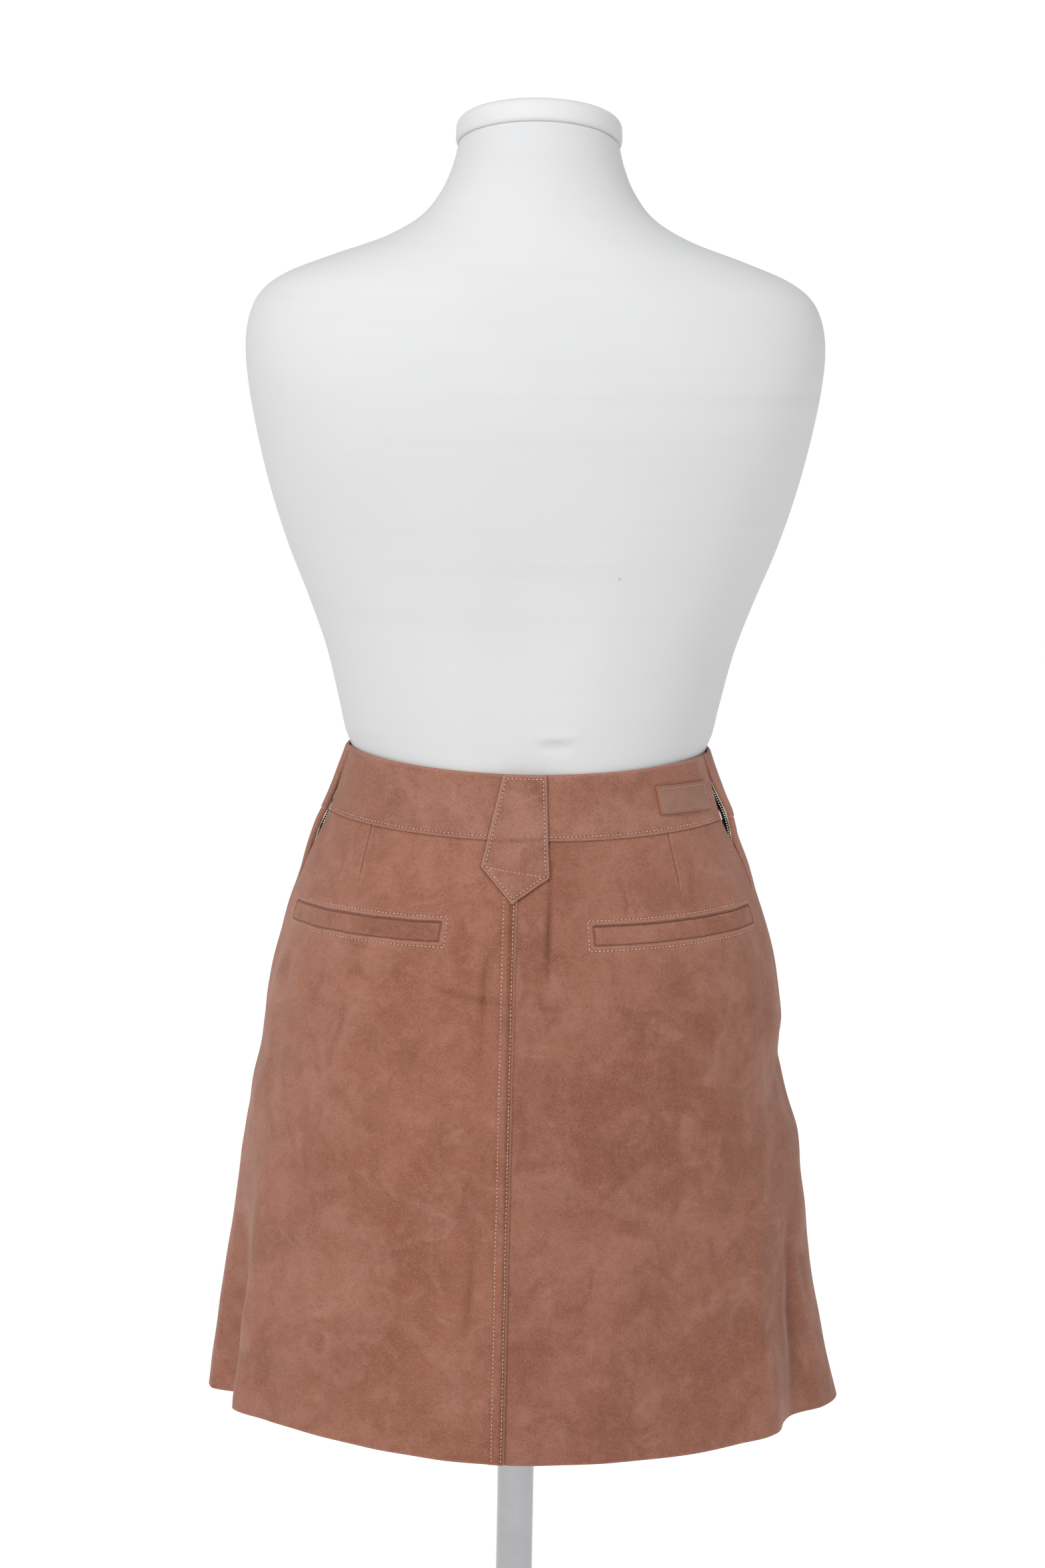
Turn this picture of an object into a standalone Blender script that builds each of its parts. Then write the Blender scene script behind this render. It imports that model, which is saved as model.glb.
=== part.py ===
"""A suede mini skirt with a zip at each side, worn by a limbless dress form on a short pole stand.

Metres, +Z up. The origin is on the floor, under the pole. The back of the skirt faces -Y and the wearer's
left is -X. Places on the skirt are given by an angle round it, 0 at the middle of the back and +90 degrees
at +X, and by a drop, measured down from the top edge of the waistband.
"""

import bisect
import math

import bmesh
import bpy
from mathutils import Vector

# --- Driving sizes of the skirt -----------------------------------------------------------------------
WAIST_HEIGHT = 0.700  # top edge of the waistband at the middle of the back, above the floor
SIDE_RISE = 0.005  # the top edge sits this much higher at the sides
SKIRT_DROP = 0.446  # top edge to hem
HEM_LIFT, HEM_LIFT_DEG = 0.005, 42.0  # the hem rides up this much, this far left of the centre back
BAND_DROP = 0.0415  # waistband
SUEDE = 0.0015  # wall of a panel
SEAM_GAP = 0.0003  # between two pieces sewn to each other
BAND_PROUD = 0.0006  # the waistband's face stands this much outside the panels
CENTRE_BACK_DEG = -2.2  # the skirt hangs turned by this much on the form
ZIP_DROP = 0.078  # length of the side opening

# Outline of the skirt, from the waist down.
SKIRT_SECTIONS = (
    # drop, half_width, back_reach, front_reach
    (0.0000, 0.1205, 0.0860, 0.0820),
    (0.0415, 0.1335, 0.0925, 0.0885),
    (0.0800, 0.1490, 0.1035, 0.0940),
    (0.1200, 0.1620, 0.1135, 0.0985),
    (0.1600, 0.1705, 0.1215, 0.1035),
    (0.2000, 0.1765, 0.1265, 0.1085),
    (0.2500, 0.1850, 0.1305, 0.1150),
    (0.3000, 0.1922, 0.1340, 0.1220),
    (0.3500, 0.1975, 0.1375, 0.1290),
    (0.4000, 0.2035, 0.1410, 0.1360),
    (0.4460, 0.2085, 0.1445, 0.1420),
)

# Soft folds that grow towards the hem, at angles from the centre-back seam. Depth is outwards at the hem.
FOLDS = (
    # angle_deg, half_angle_deg, start_drop, depth
    (-60.0, 9.0, 0.230, 0.0040),
    (-72.5, 10.0, 0.250, -0.0200),
    (-86.0, 9.0, 0.260, 0.0030),
    (56.0, 9.0, 0.250, 0.0035),
    (69.0, 11.0, 0.230, -0.0090),
    (90.0, 16.0, 0.350, 0.0105),
    (-128.0, 20.0, 0.260, -0.0075),
    (-160.0, 17.0, 0.300, 0.0040),
    (133.0, 22.0, 0.240, -0.0065),
    (165.0, 18.0, 0.320, 0.0045),
)

# Shallow hollows in the cloth.
DENTS = (
    # angle_deg, half_angle_deg, drop, half_drop, depth
    (82.0, 34.0, 0.219, 0.042, -0.0075),
    (-140.0, 40.0, 0.235, 0.050, -0.0030),
)

# The side seams, at angles from the centre-back seam.
SIDE_SEAMS = (
    # drop, angle_deg
    (0.000, 75.5),
    (0.040, 77.5),
    (0.078, 81.5),
    (0.150, 88.0),
    (0.446, 92.0),
)

# How the side openings stand open: the gap between the two edges, and how far the front edge stands out.
GAPES = {
    # side: rows of drop, gap, front_edge_out
    -1: (
        (0.000, 0.0004, 0.0010),
        (0.012, 0.0010, 0.0016),
        (0.030, 0.0030, 0.0030),
        (0.040, 0.0024, 0.0042),
        (0.050, 0.0014, 0.0050),
        (0.062, 0.0012, 0.0036),
        (0.078, 0.0003, 0.0012),
        (0.095, 0.0003, 0.0000),
    ),
    1: (
        (0.000, 0.0008, 0.0012),
        (0.012, 0.0014, 0.0026),
        (0.025, 0.0034, 0.0046),
        (0.038, 0.0058, 0.0064),
        (0.048, 0.0046, 0.0052),
        (0.058, 0.0016, 0.0030),
        (0.078, 0.0003, 0.0016),
        (0.095, 0.0003, 0.0000),
    ),
}
GAPE_SPREAD_DEG = 17.0  # round the front, over which the raised edge settles

# --- Pieces sewn on -----------------------------------------------------------------------------------
POCKET_START_DEG, POCKET_END_DEG = 18.5, 74.3  # from the centre-back seam
POCKET_DROP, POCKET_OUTER_DROP, WELT_HEIGHT = 0.0950, 0.0990, 0.0130
WELT_THICKNESS = 0.0012
PATCH_DEG, PATCH_WIDTH, PATCH_HEIGHT, PATCH_DROP = 56.2, 0.044, 0.0178, 0.0222
PATCH_THICKNESS, PATCH_TILT, PATCH_RADIUS = 0.0014, 0.07, 0.1035  # the radius is the waistband's there
TAB_OFFSET, TAB_LEAN, TAB_SKEW = -0.0018, 0.088, 0.14
TAB_TOP_HALF, TAB_WIDE_HALF = 0.0138, 0.0217
TAB_WIDE_DROP, TAB_LENGTH, TAB_THICKNESS = 0.0618, 0.0810, 0.0018
TAB_TIP_HALF = 0.0007
TAB_STEP_START, TAB_STEP = 0.001, 0.022  # below the waistband it settles onto the panels over this drop
TAPE_WIDTH, TAPE_THICKNESS, TAPE_TOP_DROP = 0.0200, 0.0010, 0.0045
TAPE_FLAT, TAPE_SWING = 0.0048, 0.85  # flat this far past the seam, then out by this share of the front edge
SLIDER_DROP, SLIDER_SIZE, SLIDER_CLEARANCE = 0.0380, (0.0044, 0.0018, 0.0078), 0.0015
SLIDER_OUTLINE = ((-0.5, -0.5), (0.5, -0.5), (0.5, 0.3), (0.3, 0.5), (-0.3, 0.5), (-0.5, 0.3))
SLIDER_LEVELS = ((0.0, 1.0), (0.7, 1.0), (1.0, 0.72))  # share of the depth, share of the width and height

# --- The dress form and its stand ---------------------------------------------------------------------
# Sections of the torso; height is from the waist. Tilt leans the section, its back edge up.
TORSO_SECTIONS = (
    # height, half_width, back_reach, front_reach, squareness, tilt_deg
    (-0.3280, 0.1400, 0.0860, 0.0700, 2.0, 0.0),
    (-0.3240, 0.1490, 0.0940, 0.0770, 2.0, 0.0),
    (-0.3100, 0.1545, 0.0995, 0.0815, 2.0, 0.0),
    (-0.2700, 0.1600, 0.1080, 0.0870, 2.0, 0.0),
    (-0.2200, 0.1640, 0.1160, 0.0920, 2.0, 0.0),
    (-0.1700, 0.1650, 0.1175, 0.0940, 2.0, 0.0),
    (-0.1200, 0.1565, 0.1080, 0.0910, 2.0, 0.0),
    (-0.0800, 0.1430, 0.0985, 0.0885, 2.0, 0.0),
    (-0.0415, 0.1300, 0.0903, 0.0864, 2.0, 0.0),
    (0.0000, 0.1171, 0.0841, 0.0801, 2.0, 0.0),
    (0.0065, 0.1186, 0.0835, 0.0797, 2.0, 0.0),
    (0.0160, 0.1222, 0.0830, 0.0800, 2.0, 0.0),
    (0.0320, 0.1257, 0.0822, 0.0810, 2.05, 0.0),
    (0.0700, 0.1350, 0.0815, 0.0850, 2.1, 0.0),
    (0.1030, 0.1467, 0.0830, 0.0900, 2.15, 0.0),
    (0.1380, 0.1606, 0.0870, 0.0960, 2.2, 0.0),
    (0.1740, 0.1723, 0.0920, 0.1000, 2.25, 0.0),
    (0.2090, 0.1810, 0.0960, 0.0980, 2.3, 0.0),
    (0.2440, 0.1875, 0.0970, 0.0920, 2.3, 0.0),
    (0.2700, 0.1895, 0.0945, 0.0840, 2.25, 0.0),
    (0.2900, 0.1865, 0.0905, 0.0750, 2.2, 1.0),
    (0.3050, 0.1780, 0.0860, 0.0660, 2.15, 2.0),
    (0.3160, 0.1620, 0.0815, 0.0590, 2.1, 3.5),
    (0.3270, 0.1340, 0.0760, 0.0520, 2.05, 5.0),
    (0.3390, 0.1000, 0.0690, 0.0475, 2.0, 7.0),
    (0.3520, 0.0770, 0.0625, 0.0465, 2.0, 9.5),
    (0.3680, 0.0635, 0.0575, 0.0475, 2.0, 13.0),
    (0.3840, 0.0562, 0.0545, 0.0490, 2.0, 16.0),
    (0.3990, 0.0522, 0.0525, 0.0505, 2.0, 18.0),
)
BUST_ANGLE_DEG, BUST_SPREAD_DEG, BUST_HEIGHT, BUST_REACH, BUST_OUT = 34.0, 44.0, 0.175, 0.085, 0.026
SPINE_SPREAD_DEG, SPINE_HEIGHT, SPINE_REACH, SPINE_IN = 20.0, 0.080, 0.150, -0.0035
CAP_THICKNESS, CAP_TILT_DEG = 0.0175, 18.0
CAP_HALF_WIDTH, CAP_HALF_DEPTH, CAP_CENTRE = 0.0538, 0.0531, (-0.0010, 0.3997)
CAP_PROFILE = (
    # share of the thickness, share of the reach
    (0.00, 0.955),
    (0.05, 1.000),
    (0.62, 1.000),
    (0.82, 0.975),
    (0.94, 0.915),
    (1.00, 0.820),
)
POLE_RADIUS, BORE_CLEARANCE = 0.0125, 0.0003
SOCKET_TOP_HEIGHT = -0.3283  # under the torso, from the waist
SOCKET_FLANGE_RADIUS, SOCKET_FLANGE, SOCKET_SLEEVE_RADIUS, SOCKET_DROP = 0.042, 0.006, 0.0170, 0.045
BASE_RADIUS, BASE_THICKNESS, BASE_EDGE = 0.150, 0.012, 0.004
BOSS_RADIUS, BOSS_TOP, BORE_FLOOR = 0.022, 0.030, 0.006

# --- Grid counts --------------------------------------------------------------------------------------
TORSO_SIDES, LATHE_SIDES, CAP_SIDES = 40, 48, 40
BACK_COLUMNS, FRONT_COLUMNS, BAND_BACK_COLUMNS, BAND_FRONT_COLUMNS = 27, 40, 28, 30
PANEL_ROWS = (0.0, 0.022, 0.045, 0.068, 0.09, 0.135, 0.18, 0.235, 0.30, 0.37, 0.435, 0.50,
              0.58, 0.66, 0.74, 0.83, 0.92, 1.0)
BAND_ROWS = (0.0, 0.3, 0.6, 0.85, 1.0)


# --- Reading the tables -------------------------------------------------------------------------------
def read_table(rows, place, column):
    """The column's value at a place along the first column, on a smooth curve through the rows."""
    places = [row[0] for row in rows]
    values = [row[column] for row in rows]
    place = min(max(place, places[0]), places[-1])
    low = min(max(bisect.bisect_right(places, place) - 1, 0), len(rows) - 2)

    def slope(index):
        before, after = max(index - 1, 0), min(index + 1, len(rows) - 1)
        return (values[after] - values[before]) / (places[after] - places[before])

    span = places[low + 1] - places[low]
    t = (place - places[low]) / span
    rise = values[low + 1] - values[low]
    bend_in = t * (1 - t) ** 2 * (slope(low) * span - rise)
    bend_out = t * t * (t - 1) * (slope(low + 1) * span - rise)
    return values[low] + t * rise + bend_in + bend_out


def bump(offset, half_width):
    """1 at no offset, falling smoothly to 0 at the half width."""
    share = abs(offset) / half_width
    return 0.0 if share >= 1 else (1 - share * share) ** 2


def wrapped(degrees):
    return (degrees + 180.0) % 360.0 - 180.0


# --- The skirt's surface ------------------------------------------------------------------------------
def side_seam_deg(side, drop):
    """The side seam's angle round the skirt, from the middle of the back."""
    return CENTRE_BACK_DEG + side * read_table(SIDE_SEAMS, drop, 1)


def front_edge_out(degrees, drop):
    """How far the raised edge at a side opening stands out, at this place on the front."""
    if drop >= GAPES[1][-1][0]:
        return 0.0
    out = 0.0
    for side in (-1, 1):
        past = side * wrapped(degrees - side_seam_deg(side, drop))
        if 0 <= past < GAPE_SPREAD_DEG:
            out += read_table(GAPES[side], drop, 2) * bump(past, GAPE_SPREAD_DEG)
    return out


def fold_out(degrees, drop):
    """How far folds and hollows move the surface outwards."""
    from_seam = degrees - CENTRE_BACK_DEG
    out = 0.0
    for angle, half_angle, start, depth in FOLDS:
        grown = max(drop - start, 0.0) / (SKIRT_DROP - start)
        out += depth * grown**1.3 * bump(wrapped(from_seam - angle), half_angle)
    for angle, half_angle, centre, half_drop, depth in DENTS:
        out += depth * bump(drop - centre, half_drop) * bump(wrapped(from_seam - angle), half_angle)
    return out


def surface_point(degrees, drop, out=0.0):
    """A point of the panels' outer face, or one moved outwards from it in plan."""
    angle = math.radians(degrees)
    across, along = math.sin(angle), -math.cos(angle)
    half_width = read_table(SKIRT_SECTIONS, drop, 1)
    reach = read_table(SKIRT_SECTIONS, drop, 2 if along < 0 else 3)
    normal = Vector((across / half_width, along / reach, 0)).normalized()
    height = WAIST_HEIGHT + SIDE_RISE * across * across - drop
    moved = out + fold_out(degrees, drop)
    return Vector((half_width * across, reach * along, height)) + normal * moved


def face_point(degrees, drop, out):
    """A point moved off the panels' outer face along its true normal."""
    step_deg, step_drop = 0.05, 0.0005
    raised = front_edge_out(degrees, drop)

    def at(more_deg, more_drop):
        return surface_point(degrees + more_deg, drop + more_drop)

    round_it = at(step_deg, 0) - at(-step_deg, 0)
    down = at(0, step_drop) - at(0, -step_drop)
    normal = down.cross(round_it).normalized()
    return surface_point(degrees, drop, raised) + normal * out


# --- Making objects -----------------------------------------------------------------------------------
def make_material(name, colour, roughness, metallic=0.0):
    material = bpy.data.materials.new(name)
    material.use_nodes = True
    shader = material.node_tree.nodes["Principled BSDF"]
    shader.inputs["Base Color"].default_value = (*colour, 1.0)
    shader.inputs["Roughness"].default_value = roughness
    shader.inputs["Metallic"].default_value = metallic
    return material


def add_object(name, points, faces, material):
    mesh = bpy.data.meshes.new(name)
    mesh.from_pydata([tuple(p) for p in points], [], faces)
    shape = bmesh.new()
    shape.from_mesh(mesh)
    bmesh.ops.recalc_face_normals(shape, faces=shape.faces)
    if shape.calc_volume(signed=True) < 0:
        bmesh.ops.reverse_faces(shape, faces=shape.faces)
    shape.to_mesh(mesh)
    shape.free()
    mesh.shade_smooth()
    mesh.set_sharp_from_angle(angle=math.radians(35))
    mesh.materials.append(material)
    made = bpy.data.objects.new(name, mesh)
    bpy.context.scene.collection.objects.link(made)
    return made


def wall(name, place, across, down, inner, outer, material):
    """A cloth piece: two faces over one grid, closed round the edges. place(i, j) is an angle and a drop."""
    points, faces = [], []
    for out in (outer, inner):
        for j in down:
            for i in across:
                degrees, drop = place(i, j)
                off = out(degrees, drop) if callable(out) else out
                points.append(face_point(degrees, drop, off))
    columns, rows = len(across), len(down)
    back = columns * rows

    def at(row, column, side):
        return side * back + row * columns + column

    for row in range(rows - 1):
        for column in range(columns - 1):
            for side in (0, 1):
                corners = (row, column), (row, column + 1), (row + 1, column + 1), (row + 1, column)
                face = [at(r, c, side) for r, c in corners]
                faces.append(face if side else face[::-1])
    rim = [(0, c) for c in range(columns)] + [(r, columns - 1) for r in range(1, rows)]
    rim += [(rows - 1, c) for c in range(columns - 2, -1, -1)] + [(r, 0) for r in range(rows - 2, 0, -1)]
    for (r0, c0), (r1, c1) in zip(rim, rim[1:] + rim[:1]):
        faces.append([at(r0, c0, 0), at(r1, c1, 0), at(r1, c1, 1), at(r0, c0, 1)])
    return add_object(name, points, faces, material)


def shares(count):
    return [i / count for i in range(count + 1)]


def stacked_rings(name, rings, material):
    """A closed solid through rings of points, flat across its two ends."""
    count = len(rings[0])
    points = [point for ring in rings for point in ring]
    faces = [list(range(count))[::-1], [len(points) - count + k for k in range(count)]]
    for low in range(len(rings) - 1):
        for k in range(count):
            after = (k + 1) % count
            here, above = low * count, (low + 1) * count
            faces.append([here + k, here + after, above + after, above + k])
    return add_object(name, points, faces, material)


def turned(name, profile, material):
    """A turned solid about the Z axis: radius and height from one flat end, over the rim, to the other."""
    rings = []
    for radius, height in profile:
        turns = [2 * math.pi * side / LATHE_SIDES for side in range(LATHE_SIDES)]
        rings.append([(radius * math.cos(turn), radius * math.sin(turn), height) for turn in turns])
    return stacked_rings(name, rings, material)


# --- The pieces of the skirt --------------------------------------------------------------------------
def half_gap_deg(side, drop):
    """Half the gap at a side seam, as an angle."""
    gap = read_table(GAPES[side], drop, 1) if drop < GAPES[side][-1][0] else SEAM_GAP
    return math.degrees(0.5 * max(gap, SEAM_GAP) / read_table(SKIRT_SECTIONS, drop, 2))


def hem_drop(degrees):
    return SKIRT_DROP - HEM_LIFT * bump(wrapped(degrees - CENTRE_BACK_DEG + HEM_LIFT_DEG), HEM_LIFT_DEG)


def seam_half_deg(drop):
    return math.degrees(0.5 * SEAM_GAP / read_table(SKIRT_SECTIONS, drop, 1))


def back_panel(side):
    """Half of the back, from the centre seam to one side seam."""
    def place(i, j):
        top = BAND_DROP + SEAM_GAP
        rough = CENTRE_BACK_DEG + side * i * SIDE_SEAMS[-1][1]
        drop = top + j * (hem_drop(rough) - top)
        start = CENTRE_BACK_DEG + side * seam_half_deg(drop)
        end = side_seam_deg(side, drop) - side * half_gap_deg(side, drop)
        return start + i * (end - start), drop

    return place


def front_panel(i, j):
    top = BAND_DROP + SEAM_GAP
    drop = top + j * (SKIRT_DROP - top)
    start = side_seam_deg(1, drop) + half_gap_deg(1, drop)
    end = 360.0 + side_seam_deg(-1, drop) - half_gap_deg(-1, drop)
    return start + i * (end - start), drop


def back_band(i, j):
    drop = j * BAND_DROP
    start = side_seam_deg(-1, drop) + half_gap_deg(-1, drop)
    end = side_seam_deg(1, drop) - half_gap_deg(1, drop)
    return start + i * (end - start), drop


def front_band(i, j):
    drop = j * BAND_DROP
    start = side_seam_deg(1, drop) + half_gap_deg(1, drop)
    end = 360.0 + side_seam_deg(-1, drop) - half_gap_deg(-1, drop)
    return start + i * (end - start), drop


def welt(side):
    """The strip set in a back pocket's opening."""
    def place(i, j):
        degrees = CENTRE_BACK_DEG + side * (POCKET_START_DEG + i * (POCKET_END_DEG - POCKET_START_DEG))
        top = POCKET_DROP + i * (POCKET_OUTER_DROP - POCKET_DROP)
        return degrees, top + j * WELT_HEIGHT

    return place


def patch(i, j):
    """The small leather patch on the right of the back waistband."""
    drop = PATCH_DROP + (j - 0.5) * PATCH_HEIGHT + (i - 0.5) * PATCH_TILT * PATCH_WIDTH
    round_it = (i - 0.5) * math.degrees(PATCH_WIDTH / PATCH_RADIUS)
    return CENTRE_BACK_DEG + PATCH_DEG + round_it, drop


def tab(i, j):
    """The pointed tab over the centre back: it widens to its shoulders, then runs to a point."""
    along = j * TAB_LENGTH
    if along <= TAB_WIDE_DROP:
        half = TAB_TOP_HALF + (TAB_WIDE_HALF - TAB_TOP_HALF) * along / TAB_WIDE_DROP
    else:
        half = TAB_WIDE_HALF * (TAB_LENGTH - along) / (TAB_LENGTH - TAB_WIDE_DROP)
    across = (2 * i - 1) * max(half, TAB_TIP_HALF)
    drop = along + TAB_SKEW * across * min(along / TAB_WIDE_DROP, 1.0)
    reach = read_table(SKIRT_SECTIONS, drop, 1)
    return math.degrees(math.asin((TAB_OFFSET - TAB_LEAN * along + across) / reach)), drop


def over_band(gap, thickness):
    """How far out a face lies that rests on the waistband above and settles onto the panels below."""
    def out(degrees, drop):
        on_band = bump(max(drop - BAND_DROP - TAB_STEP_START, 0.0), TAB_STEP)
        return gap + BAND_PROUD * on_band + thickness

    return out


def zip_tape(side):
    """The tape behind a side opening."""
    def place(i, j):
        drop = TAPE_TOP_DROP + j * (ZIP_DROP - TAPE_TOP_DROP)
        half = math.degrees(0.5 * TAPE_WIDTH / read_table(SKIRT_SECTIONS, drop, 2))
        return side_seam_deg(side, drop) + side * (2 * i - 1) * half, drop

    return place


def tape_out(side, layer):
    """The tape lies behind the back edge of the opening and only swings out well under the front edge."""
    def out(degrees, drop):
        reach = read_table(SKIRT_SECTIONS, drop, 2)
        past = side * math.radians(wrapped(degrees - side_seam_deg(side, drop))) * reach
        swung = min(max((past - TAPE_FLAT) / (0.5 * TAPE_WIDTH - TAPE_FLAT), 0.0), 1.0)
        lag = (TAPE_SWING * swung - 1.0) * front_edge_out(degrees, drop)
        return lag - SUEDE - SEAM_GAP - layer * TAPE_THICKNESS

    return out


def zip_slider(name, side, material):
    """The slider's body, flat on the tape, close against the back edge and under the raised front edge."""
    width, depth, height = SLIDER_SIZE
    reach = read_table(SKIRT_SECTIONS, SLIDER_DROP, 2)
    shift = math.degrees((0.5 * width + SLIDER_CLEARANCE) / reach)
    degrees = side_seam_deg(side, SLIDER_DROP) + side * (shift - half_gap_deg(side, SLIDER_DROP))

    def on_tape(drop, lift):
        return face_point(degrees, drop, tape_out(side, 0)(degrees, drop) + lift)

    seat = on_tape(SLIDER_DROP, 0.0)
    outward = (on_tape(SLIDER_DROP, 0.01) - seat).normalized()
    up = (on_tape(SLIDER_DROP - 0.004, 0.0) - seat).normalized()
    across = up.cross(outward).normalized()
    up = outward.cross(across).normalized()
    points = []
    for level, narrow in SLIDER_LEVELS:
        middle = seat + outward * (SEAM_GAP + level * depth)
        for x, z in SLIDER_OUTLINE:
            points.append(middle + across * (x * width * narrow) + up * (z * height * narrow))
    corners = len(SLIDER_OUTLINE)
    rings = [points[k : k + corners] for k in range(0, len(points), corners)]
    return stacked_rings(name, rings, material)


# --- The dress form -----------------------------------------------------------------------------------
def squared(value, squareness):
    return math.copysign(abs(value) ** (2.0 / squareness), value)


def torso_ring(row):
    height, half_width, back, front, squareness, tilt = row
    ring = []
    for k in range(TORSO_SIDES):
        degrees = 360.0 * k / TORSO_SIDES
        angle = math.radians(degrees)
        across, along = squared(math.sin(angle), squareness), -squared(math.cos(angle), squareness)
        bust = sum(bump(wrapped(degrees - 180 - s * BUST_ANGLE_DEG), BUST_SPREAD_DEG) for s in (-1, 1))
        out = BUST_OUT * bust * bump(height - BUST_HEIGHT, BUST_REACH)
        out += SPINE_IN * bump(wrapped(degrees), SPINE_SPREAD_DEG) * bump(height - SPINE_HEIGHT, SPINE_REACH)
        reach = back if along < 0 else front
        y = reach * along + out * (1 if along > 0 else -1)
        ring.append((half_width * across, y, WAIST_HEIGHT + height - y * math.tan(math.radians(tilt))))
    return ring


def neck_cap(name, material):
    """The lid on the neck, a low drum with a rounded rim, tilted forwards."""
    tilt = math.radians(CAP_TILT_DEG)
    y0, z0 = CAP_CENTRE
    rings = []
    for rise, reach in CAP_PROFILE:
        lift = rise * CAP_THICKNESS
        ring = []
        for k in range(CAP_SIDES):
            angle = 2 * math.pi * k / CAP_SIDES
            x = CAP_HALF_WIDTH * reach * math.sin(angle)
            y = -CAP_HALF_DEPTH * reach * math.cos(angle)
            ring.append((x, y0 + y * math.cos(tilt) + lift * math.sin(tilt),
                         WAIST_HEIGHT + z0 - y * math.sin(tilt) + lift * math.cos(tilt)))
        rings.append(ring)
    return stacked_rings(name, rings, material)


def build_form():
    cover = make_material("form_cover", (0.80, 0.80, 0.79), 0.75)
    metal = make_material("pole_metal", (0.60, 0.60, 0.61), 0.25, 1.0)
    painted = make_material("base_paint", (0.72, 0.72, 0.71), 0.45)
    stacked_rings("torso_form", [torso_ring(row) for row in TORSO_SECTIONS], cover)
    neck_cap("neck_cap", cover)
    bore = POLE_RADIUS + BORE_CLEARANCE
    top = WAIST_HEIGHT + SOCKET_TOP_HEIGHT
    bottom = top - SOCKET_DROP
    turned("pole_socket", (
        (SOCKET_FLANGE_RADIUS, top), (SOCKET_FLANGE_RADIUS, top - SOCKET_FLANGE),
        (SOCKET_SLEEVE_RADIUS, top - SOCKET_FLANGE - 0.002), (SOCKET_SLEEVE_RADIUS, bottom + 0.002),
        (SOCKET_SLEEVE_RADIUS - 0.002, bottom), (bore, bottom), (bore, top - SOCKET_FLANGE)), painted)
    head = top - SOCKET_FLANGE - BORE_CLEARANCE
    turned("pole", ((POLE_RADIUS, BORE_FLOOR + BORE_CLEARANCE), (POLE_RADIUS, head)), metal)
    turned("base_plate", (
        (BASE_RADIUS - 0.0015, 0.0), (BASE_RADIUS, 0.0015), (BASE_RADIUS, BASE_THICKNESS - BASE_EDGE),
        (BASE_RADIUS - BASE_EDGE, BASE_THICKNESS), (BOSS_RADIUS + 0.004, BASE_THICKNESS + 0.0015),
        (BOSS_RADIUS, BASE_THICKNESS + 0.006), (BOSS_RADIUS, BOSS_TOP - 0.003),
        (BOSS_RADIUS - 0.003, BOSS_TOP), (bore, BOSS_TOP), (bore, BORE_FLOOR)), painted)


def build_skirt():
    suede = make_material("suede", (0.42, 0.20, 0.14), 0.95)
    leather = make_material("patch_leather", (0.33, 0.16, 0.11), 0.6)
    tape = make_material("zip_tape", (0.05, 0.03, 0.03), 0.9)
    metal = make_material("zip_metal", (0.62, 0.58, 0.52), 0.3, 1.0)
    sides = {"left": -1, "right": 1}
    for label, side in sides.items():
        wall(f"back_{label}", back_panel(side), shares(BACK_COLUMNS), PANEL_ROWS, -SUEDE, 0.0, suede)
        welt_face = SEAM_GAP + WELT_THICKNESS
        wall(f"welt_{label}", welt(side), shares(16), (0.0, 0.5, 1.0), SEAM_GAP, welt_face, suede)
        tape_columns = (0.0, 0.25, 0.5, 0.5 + TAPE_FLAT / TAPE_WIDTH, 0.87, 1.0)
        wall(f"zip_tape_{label}", zip_tape(side), tape_columns, shares(10), tape_out(side, 1),
             tape_out(side, 0), tape)
        zip_slider(f"zip_slider_{label}", side, metal)
    wall("front", front_panel, shares(FRONT_COLUMNS), PANEL_ROWS, -SUEDE, 0.0, suede)
    wall("waistband_back", back_band, shares(BAND_BACK_COLUMNS), BAND_ROWS, -SUEDE, BAND_PROUD, suede)
    wall("waistband_front", front_band, shares(BAND_FRONT_COLUMNS), BAND_ROWS, -SUEDE, BAND_PROUD, suede)
    wall("patch", patch, shares(6), shares(2), BAND_PROUD + SEAM_GAP,
         BAND_PROUD + SEAM_GAP + PATCH_THICKNESS, leather)
    tab_rows = [k * TAB_WIDE_DROP / TAB_LENGTH / 8 for k in range(9)] + [0.84, 0.92, 1.0]
    wall("centre_tab", tab, shares(6), tab_rows, over_band(SEAM_GAP, 0.0),
         over_band(SEAM_GAP, TAB_THICKNESS), suede)


def main():
    for old in list(bpy.data.objects):
        bpy.data.objects.remove(old)
    build_form()
    build_skirt()


main()
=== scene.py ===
"""The looks of a suede mini skirt worn by a white dress form on a pole stand.

Metres, +Z up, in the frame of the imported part: the back of the skirt faces -Y. A place on the skirt is an
angle round it, 0 at the middle of the back and +90 degrees at +X, and a drop down from the top edge of the
waistband. Every cloth piece is a thin shell over one shared surface, with its folds, creases and seams.
"""

import math

import bpy
import numpy as np
from mathutils import Matrix


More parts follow.
